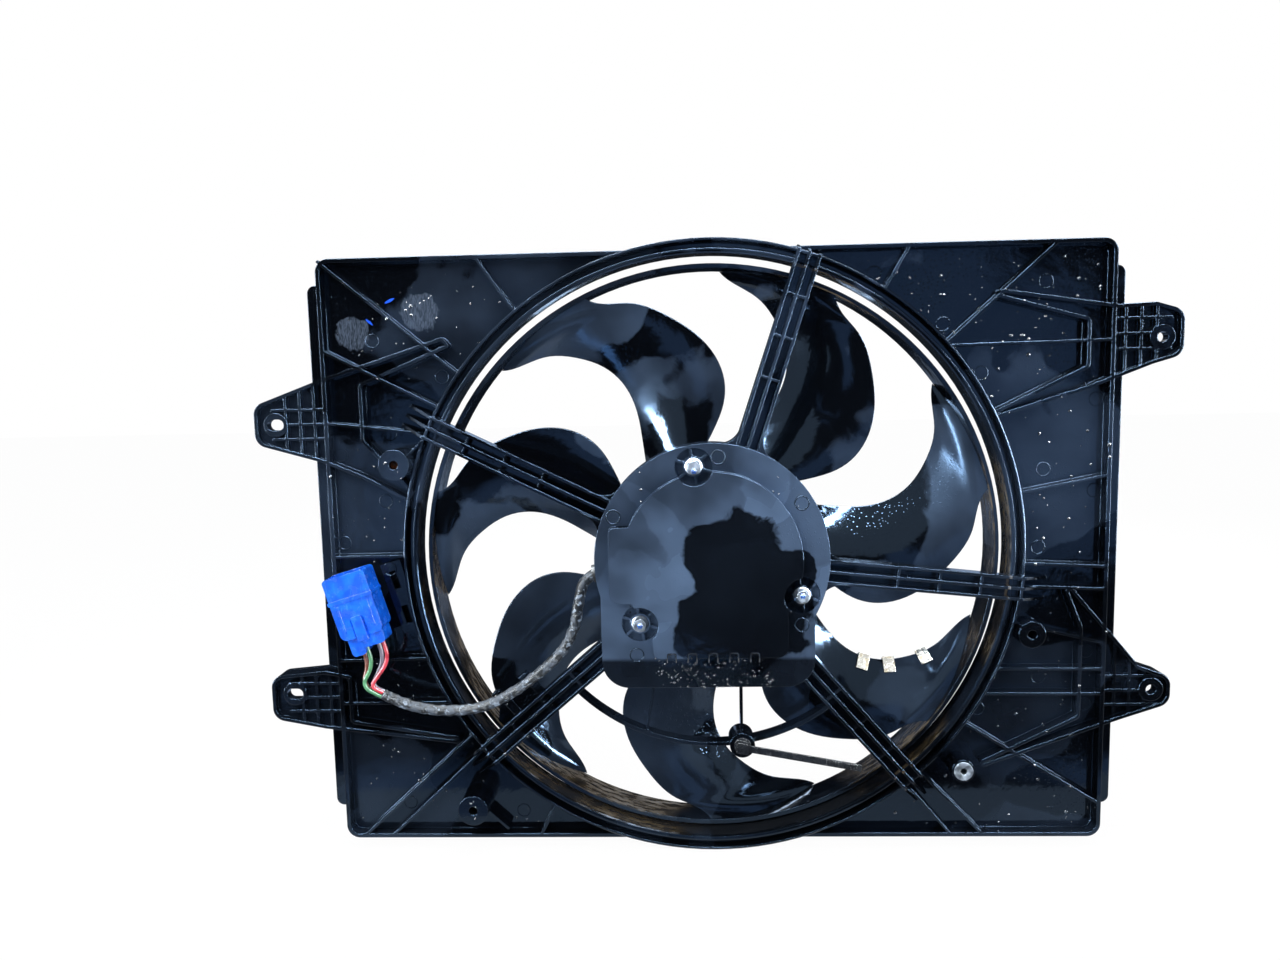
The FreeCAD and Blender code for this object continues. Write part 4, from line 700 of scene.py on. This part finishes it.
def screw_centres():
    """Six-lobed dyed recesses in the heads of the motor screws."""
    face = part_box("motor_screws")[0][1]
    points, faces = [], []
    for pixel in SCREW_PIXELS:
        place = at_pixel(pixel, face)
        base = len(points)
        for share, deep in RECESS_LEVELS:
            for i in range(RECESS_AROUND):
                angle = 2 * math.pi * i / RECESS_AROUND
                wide = (RECESS_RADIUS + RECESS_LOBE * math.cos(RECESS_LOBES * angle)) * share
                points.append(Vector((place.x + wide * math.cos(angle), face + deep,
                                      place.z + wide * math.sin(angle))))
        last = base + (len(RECESS_LEVELS) - 1) * RECESS_AROUND
        for start in range(base, last, RECESS_AROUND):
            join_rings(faces, start, start + RECESS_AROUND, RECESS_AROUND, flipped=True)
        faces.append(tuple(last + i for i in range(RECESS_AROUND)))
        faces.append(tuple(base + i for i in reversed(range(RECESS_AROUND))))
    add_piece("screw_centres", points, faces, SCREW_DYE, "frame")


def vent_lips():
    """Rounded lips inside the five vent notches at the cover's foot."""
    points, faces = [], []
    deep = Vector((0, 1, 0))
    depth = CAD_BOX[0][1] + 1.2 * LIP_RADIUS
    inset = VENT_WIDTH / 2 - LIP_INSET
    top = VENT_TOP - LIP_INSET
    half = [(-inset, VENT_TOP - VENT_TALL), (-inset, top - VENT_ROUND),
            (-inset + VENT_ROUND * 0.3, top - VENT_ROUND * 0.3), (-inset + VENT_ROUND, top)]
    outline = half + [(-x, z) for x, z in reversed(half)]
    last = len(outline) - 1
    for i in range(VENT_COUNT):
        middle = (i - (VENT_COUNT - 1) / 2) * VENT_PITCH
        path = [Vector((middle + x, depth, z)) for x, z in outline]
        base = len(points)
        for k, place in enumerate(path):
            ahead = (path[min(k + 1, last)] - path[max(k - 1, 0)]).normalized()
            side = ahead.cross(deep).normalized()
            for j in range(LIP_AROUND):
                angle = 2 * math.pi * j / LIP_AROUND
                out = side * math.cos(angle) + deep * math.sin(angle)
                points.append(place + out * LIP_RADIUS)
        end = base + last * LIP_AROUND
        for start in range(base, end, LIP_AROUND):
            join_rings(faces, start, start + LIP_AROUND, LIP_AROUND)
        faces.append(tuple(base + j for j in range(LIP_AROUND)))
        faces.append(tuple(end + j for j in reversed(range(LIP_AROUND))))
    add_piece("vent_lips", points, faces, WATER, "frame")


def make_pieces():
    """All the pieces that the frame doesn't have."""
    taped_lead()
    trees = surface_finder(("shroud", "motor_carrier", "struts"))
    ejector_marks(trees)
    water_drops(trees)
    screw_centres()
    vent_lips()


# Light and stage

FLOOR_GAP = 0.5 * MM
FLOOR_HALF = 6.0
FLOOR_COLOUR = (0.90, 0.90, 0.90, 1.0)
FLOOR_GLOW = 0.97
WHITE = (1.0, 1.0, 1.0, 1.0)
WORLD_COLOUR = (0.90, 0.95, 1.0, 1.0)
WORLD_STRENGTH = 0.55

# Large soft lamps for the colours: name, place, width, height, watts, colour
SOFT_LAMPS = (
    ("key", (-0.9, -1.3, 1.1), 0.9, 0.9, 26, (0.93, 0.97, 1.0)),
    ("fill", (1.2, -1.1, 0.3), 0.5, 1.2, 10, (1.0, 1.0, 1.0)),
    ("top", (0.1, -0.35, 1.3), 1.4, 0.3, 12, (1.0, 1.0, 1.0)),
    ("back", (0.4, 1.4, 0.8), 1.0, 1.0, 16, (1.0, 1.0, 1.0)),
)

# Narrow strips for the glints, in the same order
GLINT = (0.86, 0.94, 1.0)
STRIPS = (
    ("strip_top", (0.0, -0.36, 1.15), 2.0, 0.26, 250, GLINT),
    ("strip_right", (1.30, -0.42, 0.15), 0.22, 1.3, 165, GLINT),
    ("strip_left", (-1.30, -0.42, 0.15), 0.22, 1.3, 125, GLINT),
    ("strip_back", (0.0, 0.40, 1.15), 2.0, 0.20, 90, GLINT),
)

# Dark cards: side and top edges; each one's name, depth, and the inner edge of its floor card
CARD_SIDE = 1.0
CARD_TOP = 0.62
CARDS = (("front", -1.05, -0.09), ("rear", 1.05, 0.12))
CARD_DARK = (0.006, 0.009, 0.015)
CARD_WINDOW = (0.50, 0.66, 0.95)


def seen_rays(tree):
    """Share of rays that see a surface directly, in a mirror or through something."""
    rays = tree.nodes.new("ShaderNodeLightPath").outputs
    seen = rays["Is Camera Ray"]
    for ray in ("Is Glossy Ray", "Is Transmission Ray"):
        either = tree.nodes.new("ShaderNodeMath")
        either.operation = "MAXIMUM"
        tree.links.new(seen, either.inputs[0])
        tree.links.new(rays[ray], either.inputs[1])
        seen = either.outputs[0]
    return seen


def lamp(name, at, width, height, watts, colour, mirrored):
    """Rectangular lamp pointed at the fan; a mirrored one shows only in glossy surfaces."""
    data = bpy.data.lights.new(name, "AREA")
    data.shape = "RECTANGLE"
    data.size = width
    data.size_y = height
    data.energy = watts
    data.color = colour
    thing = bpy.data.objects.new(name, data)
    thing.location = at
    thing.rotation_euler = (Vector((0, 0, 0)) - Vector(at)).to_track_quat("-Z", "Y").to_euler()
    thing.visible_camera = False
    thing.visible_glossy = mirrored
    thing.visible_diffuse = not mirrored
    bpy.context.scene.collection.objects.link(thing)


def make_flag(name, corners):
    """Dark studio card with dim cloudy windows, seen only in glossy surfaces."""
    mesh = bpy.data.meshes.new(name)
    mesh.from_pydata(corners, [], [(0, 1, 2, 3)])
    card = bpy.data.objects.new(name, mesh)
    bpy.context.scene.collection.objects.link(card)
    g = Graph(name)
    shape = g.maths("ADD", g.noise(2.3, 2, 0.5), g.maths("MULTIPLY", g.noise(9, 3), 0.12))
    window = g.spread(shape, 0.56, 0.66)
    colour = g.blend(window, CARD_DARK, CARD_WINDOW)
    glow = g.add("ShaderNodeEmission", {"Color": colour, "Strength": 1.0})
    output = g.add("ShaderNodeOutputMaterial")
    g.tree.links.new(glow.outputs[0], output.inputs[0])
    mesh.materials.append(g.material)
    card.visible_camera = False
    card.visible_diffuse = False
    card.visible_shadow = False
    card.visible_transmission = False


def make_flags():
    """Upright cards before and behind the object, and low ones over the floor."""
    side, low, high = CARD_SIDE, CAD_BOX[0][2], CARD_TOP
    for name, y, inner in CARDS:
        make_flag(name + "_card", [(-side, y, low), (side, y, low), (side, y, high),
                                   (-side, y, high)])
        make_flag(name + "_floor_card", [(-side, y, low), (side, y, low), (side, inner, low),
                                         (-side, inner, low)])


def make_world():
    """White surroundings as seen, and a gentle even light on the object."""
    world = bpy.data.worlds.new("studio")
    world.use_nodes = True
    tree = world.node_tree
    tree.nodes.clear()
    light = tree.nodes.new("ShaderNodeBackground")
    light.inputs["Color"].default_value = WORLD_COLOUR
    light.inputs["Strength"].default_value = WORLD_STRENGTH
    white = tree.nodes.new("ShaderNodeBackground")
    white.inputs["Color"].default_value = WHITE
    white.inputs["Strength"].default_value = 1.0
    mix = tree.nodes.new("ShaderNodeMixShader")
    output = tree.nodes.new("ShaderNodeOutputWorld")
    tree.links.new(seen_rays(tree), mix.inputs[0])
    tree.links.new(light.outputs[0], mix.inputs[1])
    tree.links.new(white.outputs[0], mix.inputs[2])
    tree.links.new(mix.outputs[0], output.inputs[0])
    bpy.context.scene.world = world


def make_floor():
    """Plain pale floor under the part, nearly white where no shadow falls."""
    half = FLOOR_HALF
    low = CAD_BOX[0][2] - FLOOR_GAP
    mesh = bpy.data.meshes.new("floor")
    corners = [(-half, -half, low), (half, -half, low), (half, half, low), (-half, half, low)]
    mesh.from_pydata(corners, [], [(0, 1, 2, 3)])
    floor = bpy.data.objects.new("floor", mesh)
    bpy.context.scene.collection.objects.link(floor)
    g = Graph("floor")
    pale = g.add("ShaderNodeBsdfDiffuse", {"Color": FLOOR_COLOUR})
    glow = g.add("ShaderNodeEmission", {"Color": WHITE, "Strength": 1.0})
    share = g.maths("MULTIPLY", seen_rays(g.tree), FLOOR_GLOW)
    mix = g.add("ShaderNodeMixShader", {0: share, 1: pale.outputs[0], 2: glow.outputs[0]})
    output = g.add("ShaderNodeOutputMaterial")
    g.tree.links.new(mix.outputs[0], output.inputs[0])
    mesh.materials.append(g.material)


def make_lights():
    """Soft lamps, strips seen only as glints, and the dark cards."""
    for row in SOFT_LAMPS:
        lamp(*row, mirrored=False)
    for row in STRIPS:
        lamp(*row, mirrored=True)
    make_flags()


make_camera()
make_world()
make_floor()
make_lights()
paint_nodes()
make_pieces()

bpy.context.scene.view_settings.view_transform = "Standard"
